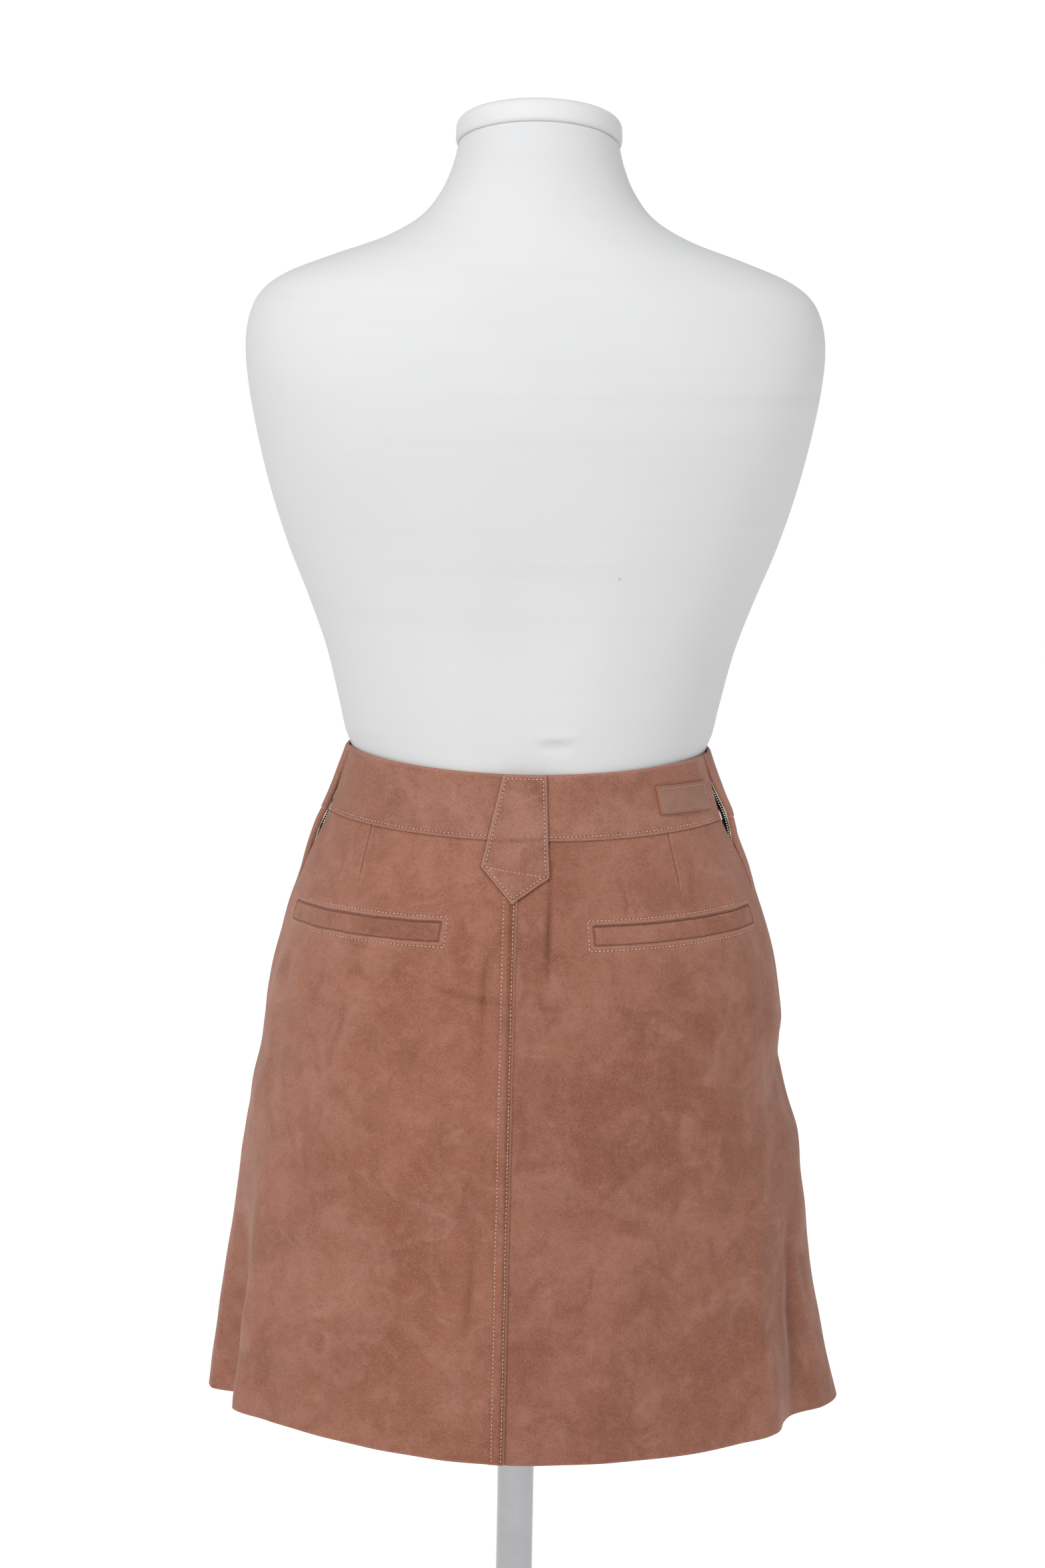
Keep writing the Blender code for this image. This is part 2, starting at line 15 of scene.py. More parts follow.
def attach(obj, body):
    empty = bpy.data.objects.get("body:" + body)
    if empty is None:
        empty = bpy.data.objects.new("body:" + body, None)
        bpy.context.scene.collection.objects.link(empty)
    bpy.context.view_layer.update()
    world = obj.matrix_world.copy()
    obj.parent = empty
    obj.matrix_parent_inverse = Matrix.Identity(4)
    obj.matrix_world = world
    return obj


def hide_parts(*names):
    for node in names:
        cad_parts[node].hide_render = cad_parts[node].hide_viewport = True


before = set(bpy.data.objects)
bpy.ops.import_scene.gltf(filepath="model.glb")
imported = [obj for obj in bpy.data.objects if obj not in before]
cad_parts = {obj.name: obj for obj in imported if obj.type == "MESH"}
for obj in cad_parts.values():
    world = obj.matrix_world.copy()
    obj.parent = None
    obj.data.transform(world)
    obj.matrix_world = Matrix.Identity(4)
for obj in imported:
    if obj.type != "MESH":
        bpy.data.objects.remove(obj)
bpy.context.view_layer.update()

MM = 0.001

# --- The skirt's surface ------------------------------------------------------------------------------
WAIST_HEIGHT = 0.700
SIDE_RISE = 0.005
SKIRT_DROP = 0.446
HEM_LIFT = 0.005
BAND_DROP = 0.0415
CENTRE_BACK_DEG = -2.2
SUEDE = 0.0015
BAND_PROUD = 0.0006
ZIP_DROP = 0.078

SKIRT_SECTIONS = (
    # drop, half_width, back_reach, front_reach
    (0.0000, 0.1205, 0.0860, 0.0820),
    (0.0415, 0.1335, 0.0925, 0.0885),
    (0.0800, 0.1490, 0.1035, 0.0940),
    (0.1200, 0.1620, 0.1135, 0.0985),
    (0.1600, 0.1705, 0.1215, 0.1035),
    (0.2000, 0.1765, 0.1265, 0.1085),
    (0.2500, 0.1850, 0.1305, 0.1150),
    (0.3000, 0.1922, 0.1340, 0.1220),
    (0.3500, 0.1975, 0.1375, 0.1290),
    (0.4000, 0.2035, 0.1410, 0.1360),
    (0.4460, 0.2085, 0.1445, 0.1420),
)
FOLDS = (
    # angle_deg from the centre-back seam, half_angle_deg, start_drop, depth outwards at the hem
    (-60.0, 9.0, 0.230, 0.0040),
    (-72.5, 10.0, 0.250, -0.0200),
    (-86.0, 9.0, 0.260, 0.0030),
    (56.0, 9.0, 0.250, 0.0035),
    (69.0, 11.0, 0.230, -0.0090),
    (90.0, 16.0, 0.350, 0.0105),
    (-128.0, 20.0, 0.260, -0.0075),
    (-160.0, 17.0, 0.300, 0.0040),
    (133.0, 22.0, 0.240, -0.0065),
    (165.0, 18.0, 0.320, 0.0045),
)
DENTS = (
    # angle_deg, half_angle_deg, drop, half_drop, depth
    (82.0, 34.0, 0.219, 0.042, -0.0075),
    (-140.0, 40.0, 0.235, 0.050, -0.0030),
)
SIDE_SEAMS = (
    # drop, angle_deg from the centre-back seam
    (0.000, 75.5),
    (0.040, 77.5),
    (0.078, 81.5),
    (0.150, 88.0),
    (0.446, 92.0),
)
GAPES = {
    # side of the opening: rows of drop, gap, how far the front edge stands out
    -1: (
        (0.000, 0.0004, 0.0010),
        (0.012, 0.0010, 0.0016),
        (0.030, 0.0030, 0.0030),
        (0.040, 0.0024, 0.0042),
        (0.050, 0.0014, 0.0050),
        (0.062, 0.0012, 0.0036),
        (0.078, 0.0003, 0.0012),
        (0.095, 0.0003, 0.0000),
    ),
    1: (
        (0.000, 0.0008, 0.0012),
        (0.012, 0.0014, 0.0026),
        (0.025, 0.0034, 0.0046),
        (0.038, 0.0058, 0.0064),
        (0.048, 0.0046, 0.0052),
        (0.058, 0.0016, 0.0030),
        (0.078, 0.0003, 0.0016),
        (0.095, 0.0003, 0.0000),
    ),
}
GAPE_SPREAD_DEG, OPENING_RADIUS, SMALLEST_GAP = 17.0, 0.095, 0.3 * MM

# Creases worn into the hide: a soft trough with a low ridge beside it, the reverse if depth is positive.
CREASES = (
    # start_deg, start_drop, end_deg, end_drop, bow, half_width, depth
    (9.0, 0.050, 7.3, 0.136, 0.0008, 0.0024, -0.0017),
    (-20.1, 0.1340, -1.5, 0.1435, 0.0022, 0.0026, -0.0014),
    (1.0, 0.1440, 13.5, 0.1482, 0.0008, 0.0030, -0.0009),
    (-7.0, 0.292, -8.6, 0.372, -0.0020, 0.0034, -0.0014),
    (-6.5, 0.090, -6.8, 0.200, 0.0010, 0.0030, -0.0011),
    (-24.0, 0.150, -20.0, 0.205, 0.0040, 0.0080, -0.0006),
    (-38.0, 0.128, -30.0, 0.170, -0.0030, 0.0070, -0.0005),
    (-51.0, 0.140, -56.0, 0.230, 0.0030, 0.0090, -0.0009),
    (23.0, 0.125, 28.0, 0.160, 0.0030, 0.0070, -0.0006),
    (40.0, 0.150, 52.0, 0.205, -0.0040, 0.0080, -0.0008),
    (30.0, 0.330, 34.0, 0.440, 0.0030, 0.0110, -0.0010),
    (-33.0, 0.350, -37.0, 0.446, -0.0030, 0.0120, -0.0012),
    (76.5, 0.330, 80.5, 0.375, 0.0010, 0.0045, -0.0014),
    (72.5, 0.300, 71.0, 0.452, 0.0020, 0.0065, -0.0026),
    (57.5, 0.290, 55.0, 0.446, 0.0020, 0.0050, 0.0010),
    (66.0, 0.235, 84.0, 0.214, 0.0030, 0.0060, -0.0012),
    (104.0, 0.200, 84.0, 0.216, -0.0030, 0.0060, -0.0012),
    (103.0, 0.110, 126.0, 0.128, 0.0040, 0.0050, -0.0010),
    (114.0, 0.122, 131.0, 0.146, 0.0030, 0.0065, -0.0008),
    (-104.0, 0.106, -124.0, 0.122, 0.0030, 0.0050, -0.0010),
    (-118.0, 0.125, -140.0, 0.139, 0.0040, 0.0070, -0.0007),
    (150.0, 0.330, 147.0, 0.446, 0.0020, 0.0120, -0.0012),
    (-150.0, 0.300, -146.0, 0.420, -0.0030, 0.0110, -0.0010),
    (172.0, 0.120, 186.0, 0.132, 0.0030, 0.0050, -0.0006),
    (118.0, 0.300, 112.0, 0.400, 0.0030, 0.0100, -0.0010),
)
# Painted shade in creases: a crease this deep and this narrow gets the full shade colour.
CREASE_DARK_DEPTH, SHARP_CREASE = 0.0019, 0.0026  # a crease this deep and this narrow is fully dark
RIPPLE_SEED, RIPPLE_COUNT = 11, 18
RIPPLE_WAVELENGTHS, RIPPLE_HEIGHT = (0.030, 0.110), 0.00016

# --- Sewn details, angles from the centre-back seam ---------------------------------------------------
DARTS = (
    # top_deg, top_drop, end_deg, end_drop
    (-47.4, 0.0425, -45.0, 0.0890),
    (45.6, 0.0425, 44.5, 0.0945),
)
POCKETS = {
    # side: inner_deg, outer_deg, drop of the inner end, how much lower the outer end is
    -1: (18.4, 73.6, 0.0947, 0.0064),
    1: (18.6, 75.0, 0.0949, 0.0027),
}
POCKET_HEIGHT, POCKET_SLANT_REACH, POCKET_SLANT_FADE_DEG = 0.0132, 0.060, 12.0
POCKET_INNER_CORNER, POCKET_OUTER_CORNER = 0.9 * MM, 3.0 * MM
POCKET_RECESS_MM, POCKET_STITCH_OUT = 1.5, 2.9 * MM
PATCH_DEG, PATCH_WIDTH, PATCH_HEIGHT, PATCH_DROP, PATCH_TILT = 56.2, 0.044, 0.0178, 0.0222, 0.07
PATCH_THICKNESS, PATCH_GAP, PATCH_RADIUS, PATCH_STITCH_IN = 1.4 * MM, 0.5 * MM, 0.1035, 1.9 * MM
PATCH_SEAT = BAND_PROUD + PATCH_GAP + PATCH_THICKNESS
TAB_OFFSET, TAB_LEAN, TAB_SKEW = -0.0018, 0.088, 0.14
TAB_TOP_HALF, TAB_WIDE_HALF = 0.0138, 0.0217
TAB_WIDE_DROP, TAB_LENGTH, TAB_THICKNESS = 0.0618, 0.0810, 0.0018
TAB_STEP_START, TAB_STEP, TAB_TIP_HALF, TAB_STITCH_IN = 0.5 * MM, 9 * MM, 0.7 * MM, 2.3 * MM
TAPE_WIDTH, TAPE_TOP_DROP = 0.0200, 0.0045
TAPE_FLAT, TAPE_SWING = 0.0048, 0.85
GAP = 0.3 * MM  # left between pieces that lie on each other
TOOTH_PITCH, TOOTH_SIZE = 1.5 * MM, (2.0 * MM, 0.75 * MM, 1.1 * MM)
STITCH_PITCH, THREAD_RADIUS, STITCH_FILL = 2.7 * MM, 0.29 * MM, 0.78
CENTRE_STITCHES, CENTRE_LAP_MM, BAND_STITCH_UP = (2.0 * MM, 8.4 * MM), 0.60, 2.2 * MM

# How the meshes are divided: places of columns in mm from an edge, counts of columns, and runs of rows, each
# a drop and the number of steps down to the next one.
HEAD_LEFT = (0, 0.25, 0.7, 1.4, 2.2, 3.2, 4.5, 6.0, 7.4, 8.4, 9.2, 9.9, 10.6, 11.5, 12.6)
HEAD_RIGHT = (-1.2, -0.5, 0.1, 0.6, 1.2, 1.9, 2.8, 4.0, 5.4, 7.0, 9.0)
EDGE = (0, 0.25, 0.7, 1.4, 2.3, 3.4, 4.8)
BACK_COLUMNS, FRONT_COLUMNS, BAND_COLUMNS, COARSE = 199, 232, 262, 3
HEM_ROWS = ((0.4430, 4), (0.4455, 2), (SKIRT_DROP, 0))
BACK_ROWS = ((0.0403, 6), (0.0440, 34), (0.0880, 58), (0.1170, 122), *HEM_ROWS)
FRONT_ROWS = ((0.0403, 6), (0.0440, 26), (0.0880, 140), *HEM_ROWS)
BAND_ROWS = ((0.0, 3), (0.0008, 3), (0.0026, 26), (0.0360, 14), (0.0411, 3), (BAND_DROP, 0))
TAB_BEND = 3 * MM
TAB_ROWS = ((0.0, 4), (0.0016, 34), (TAB_WIDE_DROP - TAB_BEND, 8), (TAB_WIDE_DROP + TAB_BEND, 16),
            (TAB_LENGTH, 0))
HEM_LIFT_START, HEM_LIFT_DEG = 0.117, 42.0

# --- The dress form and its stand ---------------------------------------------------------------------
TORSO_SECTIONS = (
    # height, half_width, back_reach, front_reach, squareness, tilt_deg
    (-0.3280, 0.1400, 0.0860, 0.0700, 2.0, 0.0),
    (-0.3240, 0.1490, 0.0940, 0.0770, 2.0, 0.0),
    (-0.3100, 0.1545, 0.0995, 0.0815, 2.0, 0.0),
    (-0.2700, 0.1600, 0.1080, 0.0870, 2.0, 0.0),
    (-0.2200, 0.1640, 0.1160, 0.0920, 2.0, 0.0),
    (-0.1700, 0.1650, 0.1175, 0.0940, 2.0, 0.0),
    (-0.1200, 0.1565, 0.1080, 0.0910, 2.0, 0.0),
    (-0.0800, 0.1430, 0.0985, 0.0885, 2.0, 0.0),
    (-0.0415, 0.1300, 0.0903, 0.0864, 2.0, 0.0),
    (0.0000, 0.1171, 0.0841, 0.0801, 2.0, 0.0),
    (0.0065, 0.1186, 0.0835, 0.0797, 2.0, 0.0),
    (0.0160, 0.1222, 0.0830, 0.0800, 2.0, 0.0),
    (0.0320, 0.1257, 0.0822, 0.0810, 2.05, 0.0),
    (0.0700, 0.1350, 0.0815, 0.0850, 2.1, 0.0),
    (0.1030, 0.1467, 0.0830, 0.0900, 2.15, 0.0),
    (0.1380, 0.1606, 0.0870, 0.0960, 2.2, 0.0),
    (0.1740, 0.1723, 0.0920, 0.1000, 2.25, 0.0),
    (0.2090, 0.1810, 0.0960, 0.0980, 2.3, 0.0),
    (0.2440, 0.1875, 0.0970, 0.0920, 2.3, 0.0),
    (0.2700, 0.1895, 0.0945, 0.0840, 2.25, 0.0),
    (0.2900, 0.1865, 0.0905, 0.0750, 2.2, 1.0),
    (0.3050, 0.1780, 0.0860, 0.0660, 2.15, 2.0),
    (0.3160, 0.1620, 0.0815, 0.0590, 2.1, 3.5),
    (0.3270, 0.1340, 0.0760, 0.0520, 2.05, 5.0),
    (0.3390, 0.1000, 0.0690, 0.0475, 2.0, 7.0),
    (0.3520, 0.0770, 0.0625, 0.0465, 2.0, 9.5),
    (0.3680, 0.0635, 0.0575, 0.0475, 2.0, 13.0),
    (0.3840, 0.0562, 0.0545, 0.0490, 2.0, 16.0),
    (0.3990, 0.0522, 0.0525, 0.0505, 2.0, 18.0),
)
BUST_ANGLE_DEG, BUST_SPREAD_DEG, BUST_HEIGHT, BUST_REACH, BUST_OUT = 34.0, 44.0, 0.175, 0.085, 0.026
SPINE_SPREAD_DEG, SPINE_HEIGHT, SPINE_REACH, SPINE_IN = 20.0, 0.080, 0.150, -0.0035
CAP_THICKNESS, CAP_TILT_DEG = 0.0175, 18.0
CAP_HALF_WIDTH, CAP_HALF_DEPTH, CAP_CENTRE = 0.0538, 0.0531, (-0.0010, 0.3997)
BASE_RADIUS, BASE_THICKNESS, BASE_EDGE = 0.150, 0.012, 0.004
BOSS_RADIUS, BOSS_TOP, BORE_RADIUS, BORE_FLOOR = 0.022, 0.030, 0.0128, 0.006

# --- Colours, as linear red, green and blue -----------------------------------------------------------
SUEDE_COLOUR, PATCH_COLOUR = (0.254, 0.101, 0.0642), (0.262, 0.134, 0.091)
# The hole colour is painted shade for the needle holes.
THREAD_COLOUR, HOLE_SHADE_COLOUR = (0.57, 0.355, 0.272), (0.110, 0.042, 0.028)
SUEDES = {
    # name: light, warmth, shift of its pattern
    "suede_left": (1.03, 1.0, (0.0, 0.0, 0.0)),
    "suede_right": (0.955, 1.0, (1.7, 0.4, 2.1)),
    "suede_front_panel": (0.99, 1.0, (4.1, 2.2, 0.3)),
    "suede_band": (1.06, 0.93, (2.9, 3.1, 1.2)),
    "suede_tab": (1.07, 0.91, (5.3, 1.1, 0.8)),
    "suede_welt": (1.0, 0.98, (3.2, 0.7, 4.0)),
}
SUEDE_LAYERS = (
    # pattern, from, to, share at most, light, warmth
    ("patches", 0.46, 0.68, 0.68, 1.42, 0.82),
    ("brushed", 0.50, 0.70, 0.70, 0.70, 1.08),
    ("strokes", 0.56, 0.72, 0.52, 1.46, 0.79),
    ("mottles", 0.50, 0.76, 0.36, 1.28, 0.86),
    ("mottles", 0.48, 0.26, 0.36, 0.76, 1.06),
    ("fibres", 0.50, 0.74, 0.75, 1.55, 0.82),
    ("fibres", 0.48, 0.26, 0.75, 0.56, 1.05),
)


# --- Reading the tables -------------------------------------------------------------------------------
def read_table(rows, place, column):
    """The column's value at places along the first column, on a smooth curve through the rows."""
    table = np.array(rows, float)
    places, values = table[:, 0], table[:, column]
    before = np.maximum(np.arange(len(places)) - 1, 0)
    after = np.minimum(np.arange(len(places)) + 1, len(places) - 1)
    slopes = (values[after] - values[before]) / (places[after] - places[before])
    place = np.clip(place, places[0], places[-1])
    low = np.clip(np.searchsorted(places, place, "right") - 1, 0, len(places) - 2)
    span = places[low + 1] - places[low]
    t = (place - places[low]) / span
    rise = values[low + 1] - values[low]
    bend_in = t * (1 - t) ** 2 * (slopes[low] * span - rise)
    bend_out = t * t * (t - 1) * (slopes[low + 1] * span - rise)
    return values[low] + t * rise + bend_in + bend_out


def bump(offset, half_width):
    """1 at no offset, falling smoothly to 0 at the half width."""
    share = np.clip(np.abs(offset) / half_width, 0, 1)
    return (1 - share * share) ** 2


def step(value, width):
    """0 below no value, rising smoothly to 1 at the width."""
    t = np.clip(value / width, 0, 1)
    return t * t * (3 - 2 * t)


def ridge(place, at, half_width):
    """1 at a place in mm, falling smoothly to 0 at the half width in mm."""
    return bump(place - at * MM, half_width * MM)


def past(place, at, width):
    """0 up to a place in mm, then rising smoothly to 1 over the width in mm."""
    return step(place - at * MM, width * MM)


def until(place, at, width):
    """1 up to a place in mm, then falling smoothly to 0 over the width in mm."""
    return 1 - past(place, at, width)


def wrapped(degrees):
    return (degrees + 180.0) % 360.0 - 180.0


# --- The surface and what shapes it -------------------------------------------------------------------
def reach_at(degrees, drops):
    """Half width and front or back reach at places on the skirt."""
    behind = np.cos(np.radians(degrees)) > 0
    reach = np.where(behind, read_table(SKIRT_SECTIONS, drops, 2), read_table(SKIRT_SECTIONS, drops, 3))
    return read_table(SKIRT_SECTIONS, drops, 1), reach


def metres_per_degree(degrees, drops):
    half_width, reach = reach_at(degrees, drops)
    angle = np.radians(degrees)
    return np.hypot(half_width * np.cos(angle), reach * np.sin(angle)) * math.pi / 180


def side_seam_deg(side, drops):
    return CENTRE_BACK_DEG + side * read_table(SIDE_SEAMS, drops, 1)


def half_gap_deg(side, drops):
    gap = np.maximum(read_table(GAPES[side], drops, 1), SMALLEST_GAP)
    return np.degrees(0.5 * gap / read_table(SKIRT_SECTIONS, drops, 2))


def piece_ends(drops, front):
    """Where a front or a back piece starts and ends, beside the two side openings."""
    left, right = side_seam_deg(-1, drops), side_seam_deg(1, drops)
    left_gap, right_gap = half_gap_deg(-1, drops), half_gap_deg(1, drops)
    return (right + right_gap, 360 + left - left_gap) if front else (left + left_gap, right - right_gap)


def at_opening(drops):
    """1 beside the side openings, falling to 0 just below them."""
    return until(drops - ZIP_DROP, 0, 8)


def front_edge_out(degrees, drops):
    """How far the raised edges at the side openings stand out, at places on the front."""
    out = np.zeros(np.broadcast(degrees, drops).shape)
    for side in (-1, 1):
        beyond = side * wrapped(degrees - side_seam_deg(side, drops))
        raised = read_table(GAPES[side], drops, 2) * bump(beyond, GAPE_SPREAD_DEG)
        out = out + np.where((beyond >= 0) & (drops < GAPES[side][-1][0]), raised, 0.0)
    return out


def creases(from_seam, drops):
    """The troughs of the creases, each with a low ridge beside it, and the painted shade in them."""
    out = np.zeros(np.broadcast(from_seam, drops).shape)
    painted_shade = np.zeros(out.shape)
    for deg0, drop0, deg1, drop1, bow, half_width, depth in CREASES:
        middle = CENTRE_BACK_DEG + (deg0 + deg1) / 2
        stride = float(metres_per_degree(middle, (drop0 + drop1) / 2))
        along = np.array([(deg1 - deg0) * stride, drop1 - drop0])
        length = np.hypot(*along)
        across_x, across_y = -along[1] / length, along[0] / length
        x, y = wrapped(from_seam - deg0) * stride, drops - drop0
        t = np.clip((x * along[0] + y * along[1]) / length**2, 0, 1)
        off = (x * across_x + y * across_y - 4 * bow * t * (1 - t)) / half_width
        taper = np.sin(math.pi * t) ** 0.8 * (0.8 + 0.2 * np.sin(9 * t + 40 * deg0))
        out = out + depth * taper * (np.exp(-off * off) - 0.45 * np.exp(-((off - 1.9) ** 2)))
        # Painted shade along the trough, strongest for deep and narrow creases.
        darkest = max(-depth, 0.0) / CREASE_DARK_DEPTH * SHARP_CREASE / half_width
        painted_shade = painted_shade + min(darkest, 1.0) * taper * np.exp(-((off / 0.75) ** 2))
    return out, painted_shade


def ripple_out(from_seam, drops):
    """The faint unevenness of soft hide."""
    rng = np.random.default_rng(RIPPLE_SEED)
    x, out = np.radians(from_seam) * 0.16, 0.0
    for _ in range(RIPPLE_COUNT):
        wave = 2 * math.pi / rng.uniform(*RIPPLE_WAVELENGTHS)
        turn, phase = rng.uniform(0, math.pi), rng.uniform(0, 2 * math.pi)
        out = out + np.sin(wave * (x * math.cos(turn) + drops * math.sin(turn)) + phase)
    return RIPPLE_HEIGHT * out * step(drops - 0.045, 0.06)


def relief(degrees, drops):
    """How far folds, hollows, creases and ripples move the surface outwards."""
    from_seam = degrees - CENTRE_BACK_DEG
    out = creases(from_seam, drops)[0] + ripple_out(from_seam, drops)
    for angle, half_angle, start, depth in FOLDS:
        grown = np.maximum(drops - start, 0.0) / (SKIRT_DROP - start)
        out = out + depth * grown**1.3 * bump(wrapped(from_seam - angle), half_angle)
    for angle, half_angle, centre, half_drop, depth in DENTS:
        out = out + depth * bump(drops - centre, half_drop) * bump(wrapped(from_seam - angle), half_angle)
    return out


def surface(degrees, drops, out):
    """Points of the panels' outer face, moved outwards in plan."""
    across, along = np.sin(np.radians(degrees)), -np.cos(np.radians(degrees))
    half_width, reach = reach_at(degrees, drops)
    nx, ny = across / half_width, along / reach
    moved = (out + relief(degrees, drops)) / np.hypot(nx, ny)
    height = WAIST_HEIGHT + SIDE_RISE * across * across - drops
    return np.stack([half_width * across + nx * moved, reach * along + ny * moved, height], -1)


def on_cloth(degrees, drops, off, with_normals=False):
    """Points moved off the panels' outer face along its true normal."""
    degrees, drops, off = np.broadcast_arrays(np.asarray(degrees, float), drops, off)
    round_it = surface(degrees + 0.05, drops, 0) - surface(degrees - 0.05, drops, 0)
    down = surface(degrees, drops + 0.0005, 0) - surface(degrees, drops - 0.0005, 0)
    normal = np.cross(down, round_it)
    normal /= np.linalg.norm(normal, axis=-1, keepdims=True)
    points = surface(degrees, drops, front_edge_out(degrees, drops)) + normal * off[..., None]
    return (points, normal) if with_normals else points


# --- Making meshes ------------------------------------------------------------------------------------
def place_in_scene(name, data):
    thing = bpy.data.objects.new(name, data)
    bpy.context.scene.collection.objects.link(thing)
    return thing


def new_mesh(name, points, faces, materials):
    mesh = bpy.data.meshes.new(name)
    mesh.from_pydata(np.asarray(points).tolist(), [], faces)
    mesh.shade_smooth()
    for material in materials:
        mesh.materials.append(material)
    return mesh


def add_mesh(name, points, faces, materials, replaces=None, marks=(), chosen=None):
    mesh = new_mesh(name, points, faces, materials)
    if chosen is not None:
        mesh.polygons.foreach_set("material_index", chosen)
    for label, values in marks:
        mark = mesh.attributes.new(label, "FLOAT", "POINT")
        mark.data.foreach_set("value", np.asarray(values, np.float32))
    mesh.update()
    piece = place_in_scene(name, mesh)
    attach(piece, "root")
    if replaces:
        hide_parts(replaces)
    return piece


def grid_faces(rows, columns, first=0, turned=False):
    low = (np.arange(rows - 1)[:, None] * columns + np.arange(columns - 1)).ravel() + first
    quads = np.stack([low, low + columns, low + columns + 1, low + 1], -1)
    return (quads[:, ::-1] if turned else quads).tolist()


def ring_faces(rows, count, first=0):
    """Faces of a tube through rings of points, then those that close its start and its end."""
    low = first + np.arange(rows - 1)[:, None] * count
    here, after = (low + np.arange(count)).ravel(), (low + (np.arange(count) + 1) % count).ravel()
    faces = np.stack([here, after, after + count, here + count], -1).tolist()
    faces.append(list(range(first, first + count))[::-1])
    faces.append(list(range(first + (rows - 1) * count, first + rows * count)))
    return faces


def flipped(faces):
    return [face[:1] + face[:0:-1] for face in faces]


def rim_of(rows, columns):
    """Places of the grid's edge, in order round it."""
    ring = [(0, c) for c in range(columns - 1)] + [(r, columns - 1) for r in range(rows - 1)]
    ring += [(rows - 1, c) for c in range(columns - 1, 0, -1)] + [(r, 0) for r in range(rows - 1, 0, -1)]
    return np.array(ring)


def shell(name, node, material, degrees, drops, off, thickness, worn=0.0, painted_shade=0.0, slot="suede"):
    """A closed shell of cloth: a fine outer face, a coarser inner one, and a rounded rim between them.

    Worn says where the nap is rubbed pale. The other mark is painted shade: darker colour where shade falls
    deep in a crease or seam, under an edge or beside a piece lying on the cloth.
    """
    degrees, drops, off, thickness = np.broadcast_arrays(degrees, drops, off, thickness)
    outer, normal = on_cloth(degrees, drops, off, with_normals=True)
    pick = slice(None, None, COARSE)
    inner = outer[pick, pick] - normal[pick, pick] * thickness[pick, pick, None]
    rows, columns = degrees.shape
    inner_rows, inner_columns = inner.shape[:2]
    fine, rough = rim_of(rows, columns), rim_of(inner_rows, inner_columns)
    rim, inwards = tuple(fine.T), tuple(np.clip(fine, 1, [rows - 2, columns - 2]).T)
    away = outer[rim] - outer[inwards]
    away /= np.linalg.norm(away, axis=1, keepdims=True)
    deep = thickness[rim][:, None]
    upper = outer[rim] - normal[rim] * deep * 0.22 + away * deep * 0.24
    lower = outer[rim] - normal[rim] * deep * 0.72 + away * deep * 0.26
    points = np.concatenate([outer.reshape(-1, 3), inner.reshape(-1, 3), upper, lower])
    first_inner, count = rows * columns, len(fine)
    first_upper = first_inner + inner_rows * inner_columns
    first_lower = first_upper + count
    faces = grid_faces(rows, columns) + grid_faces(inner_rows, inner_columns, first_inner, turned=True)
    fine_index = (fine @ (columns, 1)).tolist()
    rough_index = (first_inner + rough @ (inner_columns, 1)).tolist()
    for k in range(count):
        after = (k + 1) % count
        faces.append([fine_index[k], fine_index[after], first_upper + after, first_upper + k])
        faces.append([first_upper + k, first_upper + after, first_lower + after, first_lower + k])
    for k in range(len(rough)):
        run = [first_lower + (k * COARSE + m) % count for m in range(COARSE + 1)]
        faces.append(run + [rough_index[(k + 1) % len(rough)], rough_index[k]])
    # Painted shade from the piece and from its creases, passed to the material as a mark on the mesh.
    marks = []
    for label, values in (("worn", worn), ("painted_shade", painted_shade + creases(degrees - CENTRE_BACK_DEG, drops)[1])):
        values = np.clip(np.broadcast_to(values, degrees.shape), 0, 1)
        inside = 0 * values[pick, pick].ravel()
        marks.append((label, np.concatenate([values.ravel(), inside, values[rim], values[rim]])))
    return add_mesh(name, points, faces, [material], node, marks)


def columns_between(start, end, head, tail, count, drops):
    """Angles across a piece, row by row: distances in mm in from each edge and even steps between them."""
    sign = np.sign(end - start)[:, None]
    head, tail = np.array(head)[None] * MM, np.array(tail)[None, ::-1] * MM
    first = start[:, None] + sign * head / metres_per_degree(start, drops)[:, None]
    last = end[:, None] - sign * tail / metres_per_degree(end, drops)[:, None]
    share = np.linspace(0, 1, count - head.shape[1] - tail.shape[1] + 2)[None, 1:-1]
    middle = first[:, -1:] + (last[:, :1] - first[:, -1:]) * share
    return np.hstack([first, middle, last])


def whole_grid(runs, front, count):
    """Degrees, drops and distance from the nearer opening, over a piece from one side to the other."""
    rows = rows_through(runs)
    start, end = piece_ends(rows, front)
    degrees = columns_between(start, end, EDGE, EDGE, count, rows)
    drops = np.repeat(rows[:, None], degrees.shape[1], 1)
    nearer = np.minimum(degrees - start[:, None], end[:, None] - degrees)
    return degrees, drops, nearer * metres_per_degree(degrees, drops)


def rows_through(runs):
    """Drops down a piece: each run is a drop and the number of even steps that lead to the next one."""
    drops = [np.linspace(here[0], there[0], here[1], endpoint=False) for here, there in zip(runs, runs[1:])]
    return trim(np.concatenate(drops + [[runs[-1][0]]]))


def trim(values):
    """Drops inner values so that the coarse inner face of a shell gets its last row or column as well."""
    return np.delete(values, np.arange(2, 2 + (len(values) - 1) % COARSE))


